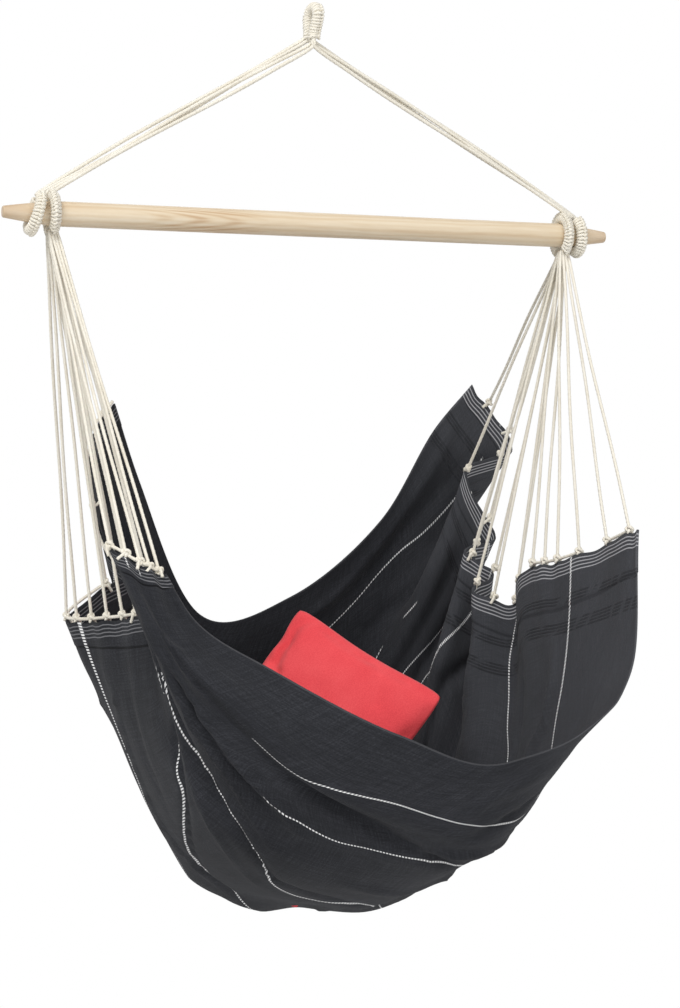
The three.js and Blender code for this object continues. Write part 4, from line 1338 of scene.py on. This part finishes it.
filling = cover_piece.modifiers.new("filling", "CLOTH")
filling.settings.use_pressure = True
filling.settings.uniform_pressure_force = PRESSURE
filling.settings.effector_weights.gravity = 0
filling.settings.quality = FILL_QUALITY
filling.settings.mass = COVER_MASS
filling.settings.shrink_min = -COVER_GROWTH
filling.settings.bending_stiffness = COVER_STIFFNESS
filling.point_cache.frame_start = 1
filling.point_cache.frame_end = FILL_FRAMES
for moment in range(1, FILL_FRAMES + 1):
    bpy.context.scene.frame_set(moment)
filled = bpy.data.meshes.new_from_object(cover_piece.evaluated_get(bpy.context.evaluated_depsgraph_get()))
bpy.data.objects.remove(cover_piece)
bpy.context.scene.frame_set(1)
places = np.array([v.co for v in filled.vertices])
print("filled size", (places.max(axis=0) - places.min(axis=0)).round(3))

# %% [markdown]
# The filled cover is pinched where it is folded against the seat: the panels come closer together along a
# crease near its left end, and that end's edge is drawn in. Two faint creases run down from the upper edge,
# and another runs just inside it, where the seam's allowance ends. The seam is pulled straight as the thread
# pulls it, each place towards the middle of its two neighbours, except at the corners. It stands out all
# round as a narrow welt, which keeps an edge under the subdivision by a crease weight.

# %% Crease it and turn it into its place
PINCHES = [
    (0.78, 0.011, [(-0.118, -0.2075), (-0.133, -0.185), (-0.134, -0.16), (-0.13, -0.13), (-0.124, -0.11)]),
    (0.5, 0.008, [(-0.15, -0.112), (-0.128, -0.102), (-0.105, -0.092)]),
    (0.16, 0.022, [(-0.02, -0.2), (0.0, -0.14), (0.01, -0.08), (0.0, 0.0)]),
    (0.14, 0.014, [(0.04, -0.2), (0.05, -0.17), (0.075, -0.14)]),
    (0.42, 0.0065, [(-0.09, -0.197), (0.0, -0.1925), (0.09, -0.196), (0.14, -0.199)]),
]
NOTCH_START = 0.11
NOTCH_DEPTH = 0.009
NOTCH_PLACE = -0.15
NOTCH_WIDTH = 0.014
PINCH_POINTS = 8
CROWN_SPARE = 1.04
WELT_REACH = 0.0028
WELT_CREASE = 0.9
SEAM_ROUNDS = 14
SEAM_PULL = 0.5
CORNER_KEPT = 0.016
CUSHION_SINK = (-0.004, 0, -0.004)

cushion_build = bmesh.new()
cushion_build.from_mesh(filled)
size = places.max(axis=0) - places.min(axis=0)
fit = [CUSHION_WIDTH / size[0], CUSHION_HEIGHT / size[1], CUSHION_CROWN * CROWN_SPARE / size[2]]
bmesh.ops.scale(cushion_build, vec=fit, verts=cushion_build.verts)
cushion_build.verts.ensure_lookup_table()
for depth, width, route in PINCHES:
    line = [
        Vector(a).lerp(Vector(b), step / PINCH_POINTS)
        for a, b in zip(route, route[1:]) for step in range(PINCH_POINTS + 1)
    ]
    for vert in cushion_build.verts:
        away = min((vert.co.xy - point).length for point in line)
        vert.co.z *= 1 - depth * math.exp(-(away / width) ** 2)
for vert in cushion_build.verts:
    end_share = min(max((-vert.co.x - NOTCH_START) / (CUSHION_WIDTH / 2 - NOTCH_START), 0), 1)
    vert.co.x += NOTCH_DEPTH * end_share * math.exp(-((vert.co.y - NOTCH_PLACE) / NOTCH_WIDTH) ** 2)
cushion_build.normal_update()
sewn = [cushion_build.verts[index] for index in seam]
on_seam = set(seam)
half_cover = Vector((CUSHION_WIDTH / 2, CUSHION_HEIGHT / 2))
pulled = {}
for vert in sewn:
    if (half_cover - Vector((abs(vert.co.x), abs(vert.co.y)))).length > CORNER_KEPT:
        others = [edge.other_vert(vert) for edge in vert.link_edges]
        pulled[vert] = [other for other in others if other.index in on_seam]
for _ in range(SEAM_ROUNDS):
    middles = [sum((other.co for other in beside), Vector()) / len(beside) for beside in pulled.values()]
    for vert, middle in zip(pulled, middles):
        vert.co = vert.co.lerp(middle, SEAM_PULL)
cushion_build.normal_update()
for vert in sewn:
    vert.co += Vector((vert.normal.x, vert.normal.y, 0)).normalized() * WELT_REACH
crease = cushion_build.edges.layers.float.new("crease_edge")
for edge in cushion_build.edges:
    if {vert.index for vert in edge.verts} <= on_seam:
        edge[crease] = WELT_CREASE
down = (CUSHION_DOWN - CUSHION_ACROSS * CUSHION_DOWN.dot(CUSHION_ACROSS)).normalized()
turn = Matrix((CUSHION_ACROSS, down, CUSHION_ACROSS.cross(down))).transposed()
corner = Vector((
    CUSHION_CORNER[0] * STRING_RING_REACH, CUSHION_CORNER[1] * SEAT_REACH,
    -BAR_DROP - CUSHION_CORNER[2] * SEAT_DROP,
))
centre = corner - CUSHION_ACROSS * CUSHION_WIDTH / 2 - down * CUSHION_HEIGHT / 2 + Vector(CUSHION_SINK)
into_place = Matrix.Translation(centre) @ turn.to_4x4()
bmesh.ops.transform(cushion_build, matrix=into_place, verts=cushion_build.verts)
open_edges = sum(1 for edge in cushion_build.edges if len(edge.link_faces) != 2)
print("cushion open edges", open_edges, "litres", round(cushion_build.calc_volume(signed=True) * 1e3, 2))
cushion_mesh = built_mesh("red_cushion", cushion_build)
cushion_mesh.shade_smooth()

red = Finish("red_cover", roughness=0.9, sheen=0.12, specular=0.15)
fine = red.noise(red.object_place((1, 1, 1)), 520.0, detail=3.0, rough=0.7)
wide = red.noise(red.object_place((1, 1, 1)), 14.0, detail=2.0)
red_tone = red.math("MULTIPLY_ADD", fine, 0.6, red.math("MULTIPLY", wide, 0.4))
red.colour(red.ramp(red_tone, [
    (0.3, srgb(224, 66, 74)),
    (0.5, srgb(240, 81, 87)),
    (0.7, srgb(248, 97, 101)),
]))
red.bump(fine, 0.0008, 0.5)
cushion_mesh.materials.append(red.material)
red_cushion = placed("red_cushion", cushion_mesh)
rounder = red_cushion.modifiers.new("rounder", "SUBSURF")
rounder.levels = rounder.render_levels = 1
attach(red_cushion, "cushion")
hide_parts("cushion")
report_piece(red_cushion)
